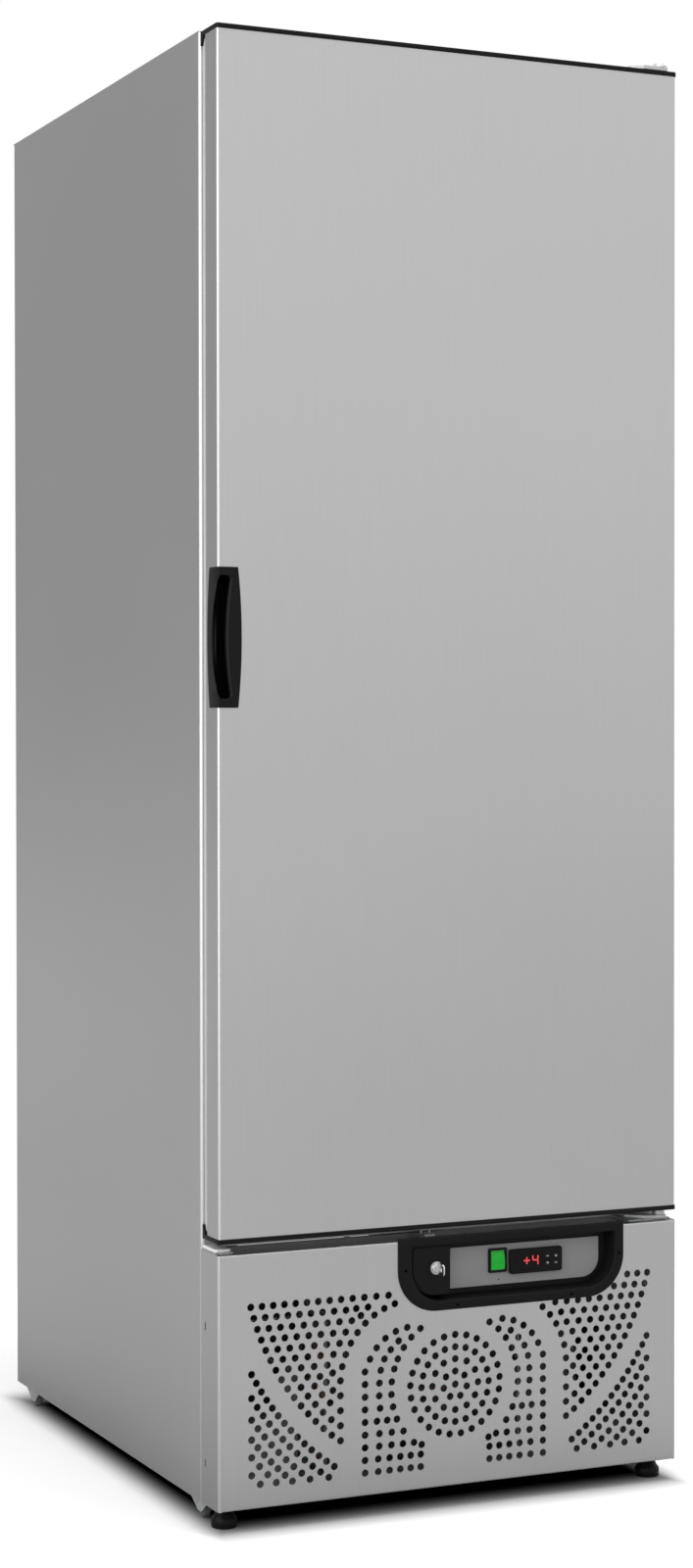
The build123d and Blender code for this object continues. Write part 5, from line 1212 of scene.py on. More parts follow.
MIDDLE_LINE = 328.3
PLUS_STROKES = ((112.3, MIDDLE_LINE, 122.7, MIDDLE_LINE),
                (117.5, MIDDLE_LINE - 5.2, 117.5, MIDDLE_LINE + 5.2))
FOUR_STROKES = ((127, MIDDLE_LINE, 127, 335), (127, MIDDLE_LINE, 135, MIDDLE_LINE),
                (135, MIDDLE_LINE, 135, 335), (135, 321.5, 135, MIDDLE_LINE))
bm = bmesh.new()
for strokes, wide in ((PLUS_STROKES, 1.3), (FOUR_STROKES, 1.2)):
    for stroke in strokes:
        bar(bm, *[place * MM for place in stroke], STROKE * wide, DIGIT_FACE, 0.25 * MM)
piece("display_digits", bm, slot="smoked_lens", body="cabinet", finish_name="digit_red")
for node, kind in zip(KEYS, (0, 1, -1, 0)):
    key = extent(node)
    bm = bmesh.new()
    face = key.front + 0.02 * MM
    if kind:
        size = 1.3 * MM * kind
        triangle = [Vector((key.x - 1.5 * MM, key.z - size)), Vector((key.x + 1.5 * MM, key.z - size)),
                    Vector((key.x, key.z + size))]
        push(bm, triangle, "Y", face - 0.12 * MM, face)
    else:
        bar(bm, key.x - 1.6 * MM, key.z, key.x + 1.6 * MM, key.z, 0.9 * MM, face, 0.12 * MM)
    piece(f"{node}_mark", bm, slot="coated_wire", body=node)

# %% [markdown]
# The lock is turned steel: a flanged barrel, a plug in it with a cam behind, and a flat key.
# The key's bow is a rounded plate with a hole, so it is punched like the sheets.

# %% Lock and key
LOCK_X = -28.5 * MM
LOCK_Z = 331 * MM
CAM_PIN = 9.9 * MM
bm = bmesh.new()
ring = drawn((6.1, 32), (6.1, -0.6), (6.6, -1), (7.9, -1), (8.8, -0.6), (9.2, 0.1), (9.2, 1.2), (9.1, 32))
lathe(bm, (LOCK_X, DOOR_FACE, LOCK_Z), "Y", ring, 56, hollow=True)
piece("lock_ring", bm, "lock_barrel", angle=30, finish_name="stainless")
bm = bmesh.new()
plug = drawn((6, 36), (6, -0.7), (5.6, -1.1), (4.9, -1.2), (4.6, -1), (0.02, -1))
lathe(bm, (LOCK_X, DOOR_FACE, LOCK_Z), "Y", plug, 56)
arm = [(LOCK_X + u, LOCK_Z + v)
       for u, v in drawn((-2.8, -2.8), (2.8, 2.8), (13.4, -7.8), (14.2, -10.5), (10.6, -13.4), (8, -13.2))]
push(bm, arm, "Y", y_at(32.5), y_at(34.5))
lathe(bm, (LOCK_X + CAM_PIN, DOOR_FACE, LOCK_Z - CAM_PIN), "Y", drawn((2, 34), (2, 37.9)), 20)
piece("lock_core", bm, "lock_plug", angle=30)

e = extent("key")
bow_y = e.front + 10 * MM
half_bow = [(bow_y - 10 * MM, 8.5, 6), (bow_y + 8 * MM, 8.5, 6), (bow_y + 10 * MM, 3.5, 2),
            (e.back, 3.3, 1.5)]
bow = rounded([(y, LOCK_Z - z * MM, radius * MM) for y, z, radius in half_bow]
              + [(y, LOCK_Z + z * MM, radius * MM) for y, z, radius in half_bow[::-1]])
eye = circle(bow_y - 2 * MM, LOCK_Z, 3 * MM, 24)
piece("flat_key", punched(bow, [eye], "X", e.left, e.right - e.left, 0.25 * MM), "key")

# %% [markdown]
# The door's outer sheet is one piece, folded round both sides and behind.
# It is the same bent strip as the casing's sides, with a cut-out where the handle wraps the edge.

# %% Door sheet
e = extent("door_skin")
BACK_FOLD = 15 * MM
DOOR_HALF = e.right + 1 * MM
path = [(BACK_FOLD - DOOR_HALF, e.back), (-DOOR_HALF, e.back), (-DOOR_HALF, e.front), (DOOR_HALF, e.front),
        (DOOR_HALF, e.back), (DOOR_HALF - BACK_FOLD, e.back)]
bm = bmesh.new()
push(bm, strip(path, SHEET, CORNER_FOLD), "Z", e.low, e.high)
door = piece("door_sheet", bm, "door_skin")
HANDLE = extent("door_handle")
MARGIN = 4 * MM
bm = bmesh.new()
brick(bm, e.left - 5 * MM, e.left + 24 * MM, e.front - 5 * MM, e.front + 26 * MM,
      HANDLE.low + MARGIN, HANDLE.high - MARGIN)
cut(door, bm)

# %% [markdown]
# A black moulding caps the door above and below, a little proud of the sheet all round.
# It is a thick plate with a hole for the hinge bush and a tail at each rear corner.
# The lower one also has the slot that the lock's bolt enters.

# %% Door caps
BUSHES = extent("hinge_bushes")
HINGE_X = BUSHES.x
HINGE_Y = BUSHES.y
CAP = 6.5 * MM
TAIL = 13 * MM
CAP_BACK = y_at(57)
STRIKE = pane(BOLT_LEFT, BOLT_RIGHT, y_at(32), y_at(41), 1 * MM, 3)
for node, low, tail_end in (("door_cap_top", extent("door_cap_top").high - CAP, -TAIL),
                            ("door_cap_bottom", extent("door_cap_bottom").low, CAP + TAIL)):
    e = extent(node)
    plan = rounded([(-HALF, e.front, 5 * MM), (HALF, e.front, 5 * MM), (HALF, CAP_BACK, 1 * MM),
                    (-HALF, CAP_BACK, 1 * MM)])
    holes = [circle(HINGE_X, HINGE_Y, BUSHES.right - HINGE_X + 0.05 * MM, 48)]
    if node == "door_cap_bottom":
        holes.append(STRIKE)
    bm = bmesh.new()
    add_mesh(bm, punched(plan, holes, "Z", low, CAP, 0.9 * MM))
    root = low + CAP / 2
    tip = low + tail_end
    for side in (-1, 1):
        tail = rounded([(CAP_BACK - 9 * MM, root, 0), (CAP_BACK - 0.3 * MM, root, 0),
                        (CAP_BACK - 0.3 * MM, tip, 1.5 * MM), (CAP_BACK - 4.5 * MM, tip, 2 * MM)], 4)
        push(bm, tail, "X", side * (HALF - 0.25 * MM), side * (HALF - 2.5 * MM))
    piece(f"{node}_moulding", bm, node)

# %% [markdown]
# The handle is a cup that wraps the door's edge. Its lips bow outwards and its mouth bows inwards,
# so every level has its own section. A skin runs over those sections from the bottom to the top.
# The mouth and the hollow are cut afterwards, because a cut keeps their rims crisp for the bevel.

# %% Handle
e = HANDLE
MOUTH_LOW = e.low + 12 * MM
MOUTH_HIGH = e.high - 11 * MM
MOUTH_CORNER = 7 * MM
CUP_RIGHT = -303 * MM


def bow(z, low, high, end, middle):
    """A width that goes from its end value to its middle value and back, on a soft arc."""
    share = min(max((z - low) / (high - low), 0), 1)
    return (end + (middle - end) * (1 - (2 * share - 1) ** 2)) * MM


bm = bmesh.new()
rings = []
for z in evenly(e.low, e.high, 37):
    reach = e.left + bow(z, e.low, e.high, 30, 35)
    side = e.front + 2 * MM + bow(z, e.low, e.high, 30, 38)
    corners = [(reach, y_at(0), 0), (reach, e.front + 0.9 * MM, 0.5 * MM),
               (reach - 4.2 * MM, e.front + 0.8 * MM, 0.3 * MM), (reach - 5 * MM, e.front, 0.5 * MM),
               (e.left, e.front, 3 * MM), (e.left, side - 5 * MM, 0.5 * MM),
               (e.left + 0.8 * MM, side - 4.2 * MM, 0.3 * MM), (e.left + 0.9 * MM, side, 0.5 * MM),
               (e.left + 2 * MM, side, 0), (e.left + 2 * MM, y_at(0), 0)]
    rings.append([(x, y, z) for x, y in rounded(corners, 4)])
skin(bm, rings)
handle = piece("handle_moulding", bm, "door_handle", bevel=0.5 * MM, angle=28)
bm = bmesh.new()
brick(bm, e.left + 1.5 * MM, e.left + 26 * MM, y_at(-0.5), y_at(26), e.low + MARGIN, e.high - MARGIN)
cup = pane(e.left + 3.2 * MM, CUP_RIGHT, y_at(1.2), y_at(41), 6 * MM)
push(bm, cup, "Z", e.low + MARGIN, e.high - MARGIN)
cup_piece = piece("handle_cup", bm, "door_handle", bevel=0.4 * MM)

# %% [markdown]
# The mouth is a crescent that wraps the corner: at its ends it lies in the front face only,
# and in the middle it reaches round to the side. Its cutter is a skin over fans of points.
# Each fan turns about a pivot in the hollow, so it stays a clean outline wherever the crescent is.

# %% Handle mouth
MOUTH_STEPS = 48
FLARE = 2.6 * MM
PIVOT = Vector((e.left + 8 * MM, e.front + 19.5 * MM))
FAN_REACH = 34 * MM


def mouth_fan(z):
    """The outline that the mouth takes out of the handle at one height."""
    from_end = min(z - MOUTH_LOW, MOUTH_HIGH - z)
    back = 0.0
    if from_end < MOUTH_CORNER:
        back = MOUTH_CORNER - math.sqrt(MOUTH_CORNER**2 - (MOUTH_CORNER - from_end) ** 2)
    front = e.left + bow(z, MOUTH_LOW, MOUTH_HIGH, 19.5, 12.5) - back
    round_corner = bow(z, MOUTH_LOW, MOUTH_HIGH, -3.8, 21)
    edge = Vector((e.left + max(-round_corner, 0), e.front + max(round_corner, 0)))
    first = math.atan2(*(edge - PIVOT).yx)
    last = math.atan2(e.front - 12 * MM - PIVOT.y, front + FLARE - PIVOT.x)
    if first > 0:
        first -= 2 * math.pi
    fan = [PIVOT]
    for k in range(5):
        angle = first + (last - first) * k / 4
        fan.append(PIVOT + FAN_REACH * Vector((math.cos(angle), math.sin(angle))))
    return fan + [Vector((front + FLARE, e.front)), Vector((front, e.front + FLARE)),
                  Vector((front, PIVOT.y))]


def mouth_cutter():
    """The space of the mouth, from outside the door to the hollow."""
    rings = []
    for step in range(MOUTH_STEPS + 1):
        share = 0.5 - 0.5 * math.cos(math.pi * step / MOUTH_STEPS)
        z = MOUTH_LOW + (MOUTH_HIGH - MOUTH_LOW) * share
        rings.append([(x, y, z) for x, y in mouth_fan(z)])
    cutter = bmesh.new()
    skin(cutter, rings)
    return cutter


def hollow_cutter():
    """The room for the fingers behind the lips."""
    cutter = bmesh.new()
    room = pane(e.left + 6 * MM, CUP_RIGHT - 2.5 * MM, y_at(4), y_at(38.5), 5 * MM)
    push(cutter, room, "Z", MOUTH_LOW, MOUTH_HIGH)
    return cutter


for thing in (handle, cup_piece):
    cut(thing, mouth_cutter())
cut(cup_piece, hollow_cutter())

# %% [markdown]
# The seal is a rubber frame: a foot in the door's liner, a thin bellows, and a broad soft head.
# Its section is a row of insets and depths, and each becomes a rectangle round the door.
# A pale lip outside it hides most of the gap between the door and the casing.

# %% Door seal
e = extent("door_gasket")
SEAL_SECTION = drawn(
    (0, 0), (0, 3.6), (1.2, 4.2), (6.4, 4.4), (8.4, 7), (6.4, 9.6), (1.6, 10), (1, 11), (1.2, 15.6),
    (2.4, 16.5), (12, 16.2), (21.6, 16.5), (22.8, 15.6), (23, 11), (22.4, 10), (17.6, 9.6), (15.6, 7),
    (17.6, 4.4), (22.8, 4.2), (24, 3.6), (24, 0))
rings = [upright(front_pane(e, inset, max(26 * MM - inset, 2 * MM), 5), e.front + behind)
         for inset, behind in SEAL_SECTION]
bm = bmesh.new()
skin(bm, rings, capped=False, looped=True)
piece("seal_frame", bm, "door_gasket", angle=50)
LIP_SECTION = drawn((6, 44.8), (6, 48.5), (2.6, 50), (2.2, 52), (2.2, 56.5), (3, 58.4), (5, 59), (22, 59),
                    (22, 44.8))
e = extent("door_skin")
e.left, e.right = -DOOR_HALF, DOOR_HALF
rings = [upright(front_pane(e, inset, 3 * MM, 4), DOOR_FACE + depth) for inset, depth in LIP_SECTION]
bm = bmesh.new()
skin(bm, rings, capped=False, looped=True)
piece("seal_lip", bm, slot="seal_rubber", body="door", angle=50)

# %% [markdown]
# The upper hinge is a plate on the casing's top with a raised arm that reaches over the door's cap.
# The arm ends in a rolled knuckle round the pin. Plan outlines give the plates, an outline seen from
# the side the step between them, and turned profiles the knuckle, its nut and the pin.

# %% Upper hinge
e = extent("top_hinge")
PLATE = 3 * MM
ROOF = extent("top_panel").high
ARM_RISE = 2.6 * MM


def plate_outline(corners):
    """A plan outline from distances right of the pin, depths behind the door's face, and radii."""
    return rounded([(HINGE_X + across * MM, y_at(depth), radius * MM) for across, depth, radius in corners])


bm = bmesh.new()
plan = plate_outline([(-52, 118, 4), (12, 118, 4), (12, 66, 1), (-52, 66, 1)])
push(bm, plan, "Z", ROOF, ROOF + PLATE)
arm = plate_outline([(12, 62, 1), (12.4, 24, 6), (9.4, 10.4, 8), (-30, 10.4, 3), (-44, 22, 6), (-52, 40, 5),
                     (-52, 62, 1)])
push(bm, arm, "Z", ROOF + 0.4 * MM, ROOF + ARM_RISE + PLATE)
slope = [(y_at(depth), ROOF + rise) for depth, rise in (
    (61, ARM_RISE), (62.5, ARM_RISE), (66, 0), (67, 0), (67, PLATE), (65.5, PLATE), (62, ARM_RISE + PLATE),
    (61, ARM_RISE + PLATE))]
push(bm, slope, "X", HINGE_X - 52 * MM, HINGE_X + 12 * MM)
pin_foot = (HINGE_X, HINGE_Y, ROOF)
knuckle = drawn((11.2, 2.6), (11.8, 3.8), (11.8, 7.2), (10.6, 8.8), (7.4, 9.2))
lathe(bm, pin_foot, "Z", knuckle, 48)
nut_end = e.high - ROOF - 3 * MM
lathe(bm, pin_foot, "Z", drawn((7.2, 8.6)) + [(7.2 * MM, nut_end)] + domed(7.2 * MM, 3 * MM, nut_end), 40)
lathe(bm, pin_foot, "Z", drawn((4.4, -20.9), (5, -20), (5, 3)), 40)
piece("upper_hinge", bm, "top_hinge", bevel=0.5 * MM, finish_name="zinc")

# %% [markdown]
# The lower hinge is a second plate under the door, with a collar that the door's bush turns on.

# %% Lower hinge and bushes
e = extent("bottom_hinge")
bm = bmesh.new()
plan = plate_outline([(-46, 61.5, 2), (11, 61.5, 2), (11, 22, 3), (7, 10.4, 7), (-7, 10.4, 7), (-24, 18, 6),
                      (-40, 34, 6), (-46, 40, 4)])
push(bm, plan, "Z", e.low, e.low + PLATE + 1 * MM)
pin_foot = (HINGE_X, HINGE_Y, e.low)
collar_top = extent("door_cap_bottom").low - 0.5 * MM - e.low
collar = drawn((8.6, 1.5), (9, 4.5)) + [(9 * MM, collar_top - 0.5 * MM), (8.4 * MM, collar_top)]
lathe(bm, pin_foot, "Z", collar, 40)
pin_top = e.high - e.low
lathe(bm, pin_foot, "Z", drawn((5, 1.5)) + [(5 * MM, pin_top - 1 * MM), (4.2 * MM, pin_top)], 40)
piece("lower_hinge", bm, "bottom_hinge", bevel=0.5 * MM, finish_name="zinc")
bush = drawn((5.1, 0.4), (5.4, 0.1), (7.7, 0.1), (8, 0.5), (8, 19.5), (7.7, 19.9), (5.4, 19.9), (5.1, 19.6))
bm = bmesh.new()
for low in (BUSHES.low, BUSHES.high - 20 * MM):
    lathe(bm, (HINGE_X, HINGE_Y, low), "Z", bush, 40, hollow=True)
piece("bush_rings", bm, "hinge_bushes")

# %% [markdown]
# The casing stands on two threaded feet in front and on rollers behind them.
# A fine thread looks no different from plain rings: a zigzag profile, turned about the stem.

# %% Levelling feet
THREAD_TURNS = 26
THREAD_STEP = 1.5
foot = [(15.8, 0), (17.1, 0.5), (17.5, 1.6), (17.5, 4), (16.9, 4.6), (16.9, 5.4), (17.5, 6), (17.5, 11),
        (16.9, 12.6), (14, 16), (11.6, 21.6), (10.4, 22.8), (5, 23)]
for turn in range(THREAD_TURNS):
    foot += [(5, 23.6 + THREAD_STEP * turn), (4.4, 24.35 + THREAD_STEP * turn)]
foot += [(4.4, 63), (3.8, 63.9)]
for node in ("foot_left", "foot_right"):
    e = extent(node)
    bm = bmesh.new()
    lathe(bm, (e.x, e.y, 0), "Z", drawn(*foot), 56)
    piece(f"{node}_turned", bm, node)

# %% [markdown]
# A roller is a hard tyre on a hub, turned like the feet but hollow for its axle.
# Its fork is a pair of plates that taper from the casing's floor down to the axle.

# %% Rollers and forks
AXLE = 4 * MM
DECK = 30 * MM
bm = bmesh.new()
for corner in ("front_left", "front_right", "rear_left", "rear_right"):
    node = f"roller_{corner}"
    e = extent(node)
    radius = (e.high - e.low) / 2
    half = (e.right - e.left) / 2
    section = [(AXLE + 0.15 * MM, -half), (7 * MM, -half), (7.4 * MM, -half * 0.7),
               (radius - 4 * MM, -half * 0.66), (radius - 2.6 * MM, -half * 0.96),
               (radius - 0.8 * MM, -half * 0.9), (radius - 0.05 * MM, -half * 0.6)]
    section += [(r, -w) for r, w in section[::-1]]
    wheel = bmesh.new()
    lathe(wheel, (e.x, e.y, e.z), "X", section, 48, hollow=True)
    piece(f"{node}_turned", wheel, node, angle=40)
    fork = rounded([(e.y - 32 * MM, DECK, 1 * MM), (e.y - 7 * MM, e.z - 5 * MM, 6 * MM),
                    (e.y + 7 * MM, e.z - 5 * MM, 6 * MM), (e.y + 42 * MM, DECK, 1 * MM)])
    for side in (-1, 1):
        near = e.x + side * (half + 0.5 * MM)
        push(bm, fork, "X", near, near + side * 1.5 * MM)
    wide = half + 1.5 * MM
    brick(bm, e.x - wide, e.x + wide, e.y - 28 * MM, e.y + 38 * MM, DECK - SHEET, DECK)
    pin = [(3.2 * MM, -wide - 0.4 * MM), (AXLE, -wide), (AXLE, wide), (3.2 * MM, wide + 0.4 * MM)]
    lathe(bm, (e.x, e.y, e.z), "X", pin, 32)
piece("fork_plates", bm, "roller_forks", bevel=0.25 * MM)

# %% [markdown]
# The chamber is lined with one sheet, drawn into a box with round corners so that it wipes clean.
# One skin makes it: up the inside from the back, over the front edge, and back along the outside.

# %% Inner liner
e = extent("inner_liner")
LINER = 1 * MM
LINER_ROUND = 14 * MM


def box_rings(inset, radius):
    """Rings of a round-cornered box from its mouth to its back."""
    rings = [upright(front_pane(e, inset, radius), e.front)]
    for step in range(7):
        angle = math.radians(15 * step)
        drawn_in = radius * (1 - math.cos(angle))
        outline = front_pane(e, inset + drawn_in, max(radius - drawn_in, 0.5 * MM))
        rings.append(upright(outline, e.back - inset - radius + radius * math.sin(angle)))
    return rings


bm = bmesh.new()
skin(bm, box_rings(LINER, LINER_ROUND)[::-1] + box_rings(0, LINER_ROUND + LINER))
piece("liner_shell", bm, "inner_liner", angle=30)

# %% [markdown]
# The shelf posts are channels with a ladder of slots, and the clips hook into those slots.
# The slotted web is a punched sheet, and its two flanges are plain strips that meet it.

# %% Shelf posts
e = extent("shelf_posts")
POST_HALF = 12 * MM
POST_REACH = 10 * MM
POST_SHEET = 2 * MM
SLOT_STEP = 20 * MM
bm = bmesh.new()
for side in (-1, 1):
    face = side * e.right
    web = side * (e.right - POST_REACH)
    for middle in (e.front + POST_HALF, e.back - POST_HALF):
        slots = []
        level = e.low + 20 * MM
        while level < e.high - 20 * MM:
            slots.append(pane(middle - 2 * MM, middle + 2 * MM, level - 5 * MM, level + 5 * MM,
                              1.5 * MM, 3))
            level += SLOT_STEP
        sheet = pane(middle - POST_HALF + 1 * MM, middle + POST_HALF - 1 * MM, e.low, e.high)
        start = min(web, web + side * POST_SHEET)
        add_mesh(bm, punched(sheet, slots, "X", start, POST_SHEET, 0.2 * MM))
        for edge in (middle - POST_HALF, middle + POST_HALF - POST_SHEET):
            brick(bm, min(web, face) + 0.1 * MM, max(web, face) - 0.1 * MM, edge, edge + POST_SHEET,
                  e.low, e.high)
piece("slotted_posts", bm, "shelf_posts", bevel=0.3 * MM)

# %% [markdown]
# A wire shelf is a heavy rod frame with thinner wires welded across it, all coated with plastic.
# The wires are straight paths with a round section, spaced by a loop.

# %% Wire shelves
FRAME_ROD = 3 * MM
WIRE = 1.7 * MM
WIRES = 25
WIRE_END = 14 * MM
for node in ("shelf_1", "shelf_2", "shelf_3"):
    e = extent(node)
    level = e.low + FRAME_ROD + 0.2 * MM
    top = e.high - WIRE - 0.1 * MM
    inset = FRAME_ROD + 0.2 * MM
    corner = [(e.left + inset, e.front + inset, level), (e.right - inset, e.front + inset, level),
              (e.right - inset, e.back - inset, level), (e.left + inset, e.back - inset, level)]
    loop = bent([corner[3]] + corner + [corner[0]], 12 * MM)[1:-1]
    rods(f"{node}_frame", [loop], FRAME_ROD, node, closed=True, angle=60)
    wires = []
    for x in evenly(e.left + WIRE_END, e.right - WIRE_END, WIRES):
        wires.append([(x, e.front + 1.5 * MM, top), (x, e.back - 1.5 * MM, top)])
    for y in evenly(e.front, e.back, 5)[1:-1]:
        wires.append([(e.left + 2 * MM, y, top - 2.6 * MM), (e.right - 2 * MM, y, top - 2.6 * MM)])
    rods(f"{node}_wires", wires, WIRE, node, angle=60)

# %% [markdown]
# Air coolers and condensers are thin metal fins on a tube that runs to and fro through them.
# One function makes both, because they differ only in size and in the colour of their fins.

# %% Finned coils
FIN = 0.35 * MM
FIN_END = 14 * MM
END_PLATE = 3 * MM


def finned_coil(node, fins, rows, levels, tube):
    """Fins, end plates and a serpentine tube in the room of a node."""
    e = extent(node)
    bm = bmesh.new()
    for x in evenly(e.left + FIN_END, e.right - FIN_END, fins):
        brick(bm, x - FIN / 2, x + FIN / 2, e.front + 2 * MM, e.back - 2 * MM,
              e.low + 1.5 * MM, e.high - 1.5 * MM)
    piece(f"{node}_fins", bm, node)
    bm = bmesh.new()
    for x in (e.left + 10 * MM, e.right - 10 * MM):
        outline = pane(e.front + 0.5 * MM, e.back - 0.5 * MM, e.low, e.high, 2 * MM)
        push(bm, outline, "X", x - END_PLATE / 2, x + END_PLATE / 2)
    piece(f"{node}_ends", bm, slot="galvanised", body="cabinet", bevel=0.3 * MM)
    paths = []
    for row in range(rows):
        y = e.front + (e.back - e.front) * (row + 0.5) / rows
        points = []
        for k in range(levels):
            z = e.low + (e.high - e.low) * (k + 0.5) / levels
            ends = [e.left + tube + 0.5 * MM, e.right - tube - 0.5 * MM]
            if k % 2:
                ends.reverse()
            points += [(x, y, z) for x in ends]
        half = (e.high - e.low) / levels / 2
        paths.append(bent(points, half * 0.7, 5))
    rods(f"{node}_tubes", paths, tube, slot="copper", body="cabinet", angle=60)


finned_coil("evaporator_coil", 90, 4, 5, 4 * MM)
finned_coil("condenser", 70, 2, 8, 3.5 * MM)

# %% [markdown]
# A fan blade is broad, thin, twisted and slightly hollow: steep near the hub and flat at the tip.
# Each blade is a skin over closed sections from the hub outwards, and a loop turns the blades.

# %% Fans
BLADE_SECTION = ((-0.5, 0.2), (-0.3, 0.9), (0, 1), (0.3, 0.8), (0.5, 0.15), (0.3, -0.8), (0, -1),
                 (-0.3, -0.9))


def fan(node, centre, hub, blades, chord, steep, flat):
    """A fan about the Y axis with its hub and its twisted blades."""
    e = extent(node)
    cx, cz = centre
    radius = min(e.right - cx, e.high - cz) - 0.6 * MM
    bm = bmesh.new()
    front, back = e.front + 0.3 * MM, e.back - 0.5 * MM
    cap = [(hub * 0.35, front + 0.6 * MM), (hub * 0.8, front), (hub * 0.97, front + 1.5 * MM),
           (hub, front + 4 * MM), (hub, back - 1 * MM), (hub * 0.96, back)]
    lathe(bm, (cx, 0, cz), "Y", cap, 48)
    middle = (front + back) / 2
    room = (e.back - e.front) / 2 - 1.5 * MM
    for k in range(blades):
        turn = 2 * math.pi * k / blades
        rings = []
        for step in range(9):
            share = step / 8
            r = hub - 2 * MM + (radius - hub + 2 * MM) * share
            pitch = math.radians(steep + (flat - steep) * share)
            width = chord * (0.62 + 0.5 * share - 0.12 * share**4)
            ring = []
            for u, t in BLADE_SECTION:
                along = u * width
                hollow = -0.05 * width * (1 - 4 * u * u)
                across = t * 0.8 * MM + hollow
                sweep = along * math.cos(pitch) - across * math.sin(pitch)
                deep = along * math.sin(pitch) + across * math.cos(pitch)
                deep = max(-room, min(room, deep))
                angle = turn + sweep / max(r, hub)
                ring.append((cx + r * math.cos(angle), middle + deep, cz + r * math.sin(angle)))
            rings.append(ring)
        skin(bm, rings)
    piece(f"{node}_rotor", bm, node, angle=40)


EVAPORATOR_FAN = (0, 1.850)
UNIT_FAN = (0, 0.152)
fan("evaporator_fan", EVAPORATOR_FAN, 24 * MM, 5, 36 * MM, 38, 22)
fan("condenser_fan", UNIT_FAN, 30 * MM, 5, 56 * MM, 36, 20)

# %% [markdown]
# The fans turn behind sheets with a round mouth. The cooler's cover is folded from thin sheet
# with a wire guard in front, so that no finger reaches the blades from the chamber.

# %% Evaporator cover
e = extent("evaporator_cover")
COVER_SHEET = 1.5 * MM
RISE = 10 * MM
MOUTH = 78 * MM
bm = bmesh.new()
face = pane(e.left + 1 * MM, e.right - 1 * MM, e.low + RISE + 1 * MM, e.high)
mouth = circle(*EVAPORATOR_FAN, MOUTH, 72)
add_mesh(bm, punched(face, [mouth], "Y", e.front, COVER_SHEET))
floor_path = [(e.front, e.low + RISE + 14 * MM), (e.front, e.low + RISE), (e.back, e.low)]
push(bm, strip(floor_path, COVER_SHEET, 2.5 * MM), "X", e.left + COVER_SHEET, e.right - COVER_SHEET)
for side in (-1, 1):
    outer = side * e.right
    cheek = [(e.front + 1.6 * MM, e.low + RISE), (e.back, e.low), (e.back, e.high),
             (e.front + 1.6 * MM, e.high)]
    push(bm, cheek, "X", outer, outer - side * COVER_SHEET)
piece("cooler_cover", bm, "evaporator_cover", bevel=0.3 * MM)
bm = bmesh.new()
cx, cz = EVAPORATOR_FAN
lathe(bm, (cx, DOOR_FACE, cz), "Y", drawn((22, 496), (30, 498), (31, 501), (31, 520), (26, 524)), 40)
ARM = 98 * MM
arm_back = y_at(521)
arm_path = [(-ARM, y_at(441.5)), (-ARM, arm_back), (ARM, arm_back), (ARM, y_at(441.5))]
push(bm, strip(arm_path, 3 * MM, 4 * MM), "Z", cz - 8 * MM, cz + 8 * MM)
piece("cooler_motor", bm, "evaporator_cover", bevel=0.4 * MM)
guard = []
for radius in (20, 34, 48, 62, 75):
    guard.append(upright(circle(cx, cz, radius * MM, 60), e.front + 4.2 * MM))
rods("fan_guard_rings", guard, 1.1 * MM, slot="coated_wire", body="cabinet", closed=True, angle=60)
spokes = []
for k in range(6):
    angle = math.radians(60 * k + 30)
    spokes.append([(cx + r * MM * math.cos(angle), e.front + 6.0 * MM, cz + r * MM * math.sin(angle))
                   for r in (14, 82)])
rods("fan_guard_spokes", spokes, 1.3 * MM, slot="coated_wire", body="cabinet", angle=60)

# %% [markdown]
# The condenser's shroud is a shallow box that leads the air into its fan, with a rolled ring
# round the mouth. The motor hangs behind it on two bent straps.

# %% Condenser shroud
e = extent("condenser_shroud")
shroud_back = y_at(176)
MOUTH = 104 * MM
cx, cz = UNIT_FAN
bm = bmesh.new()
add_mesh(bm, punched(front_pane(e, 1 * MM), [circle(cx, cz, MOUTH, 80)], "Y",
                     shroud_back - COVER_SHEET, COVER_SHEET))
rolled = drawn((104, -2), (104, -9), (106, -9.4), (106, -2))
lathe(bm, (cx, shroud_back, cz), "Y", rolled, 80, hollow=True)
walls = [upright(front_pane(e, inset, 3 * MM), depth)
         for inset, depth in ((0, e.front), (0, shroud_back), (SHEET, shroud_back), (SHEET, e.front))]
skin(bm, walls, capped=False, looped=True)
piece("unit_shroud", bm, "condenser_shroud", bevel=0.25 * MM)
bm = bmesh.new()
lathe(bm, (cx, DOOR_FACE, cz), "Y", drawn((20, 226), (28, 228), (29.6, 232), (29.6, 270), (24, 276)), 40)
strap_back = y_at(256)
STRAP = 115 * MM
for side in (-1, 1):
    reach = cx + side * STRAP
    path = [(cx + side * 27 * MM, strap_back), (reach, strap_back), (reach, shroud_back)]
    push(bm, strip(path, 2.5 * MM, 5 * MM), "Z", cz - 6 * MM, cz + 6 * MM)
piece("unit_motor", bm, "condenser_shroud", bevel=0.4 * MM)

# %% [markdown]
# A hermetic compressor is two deep-drawn steel shells welded round the middle and painted black.
# A turned profile gives the domes and the weld band, and plates and rubber mounts carry it.

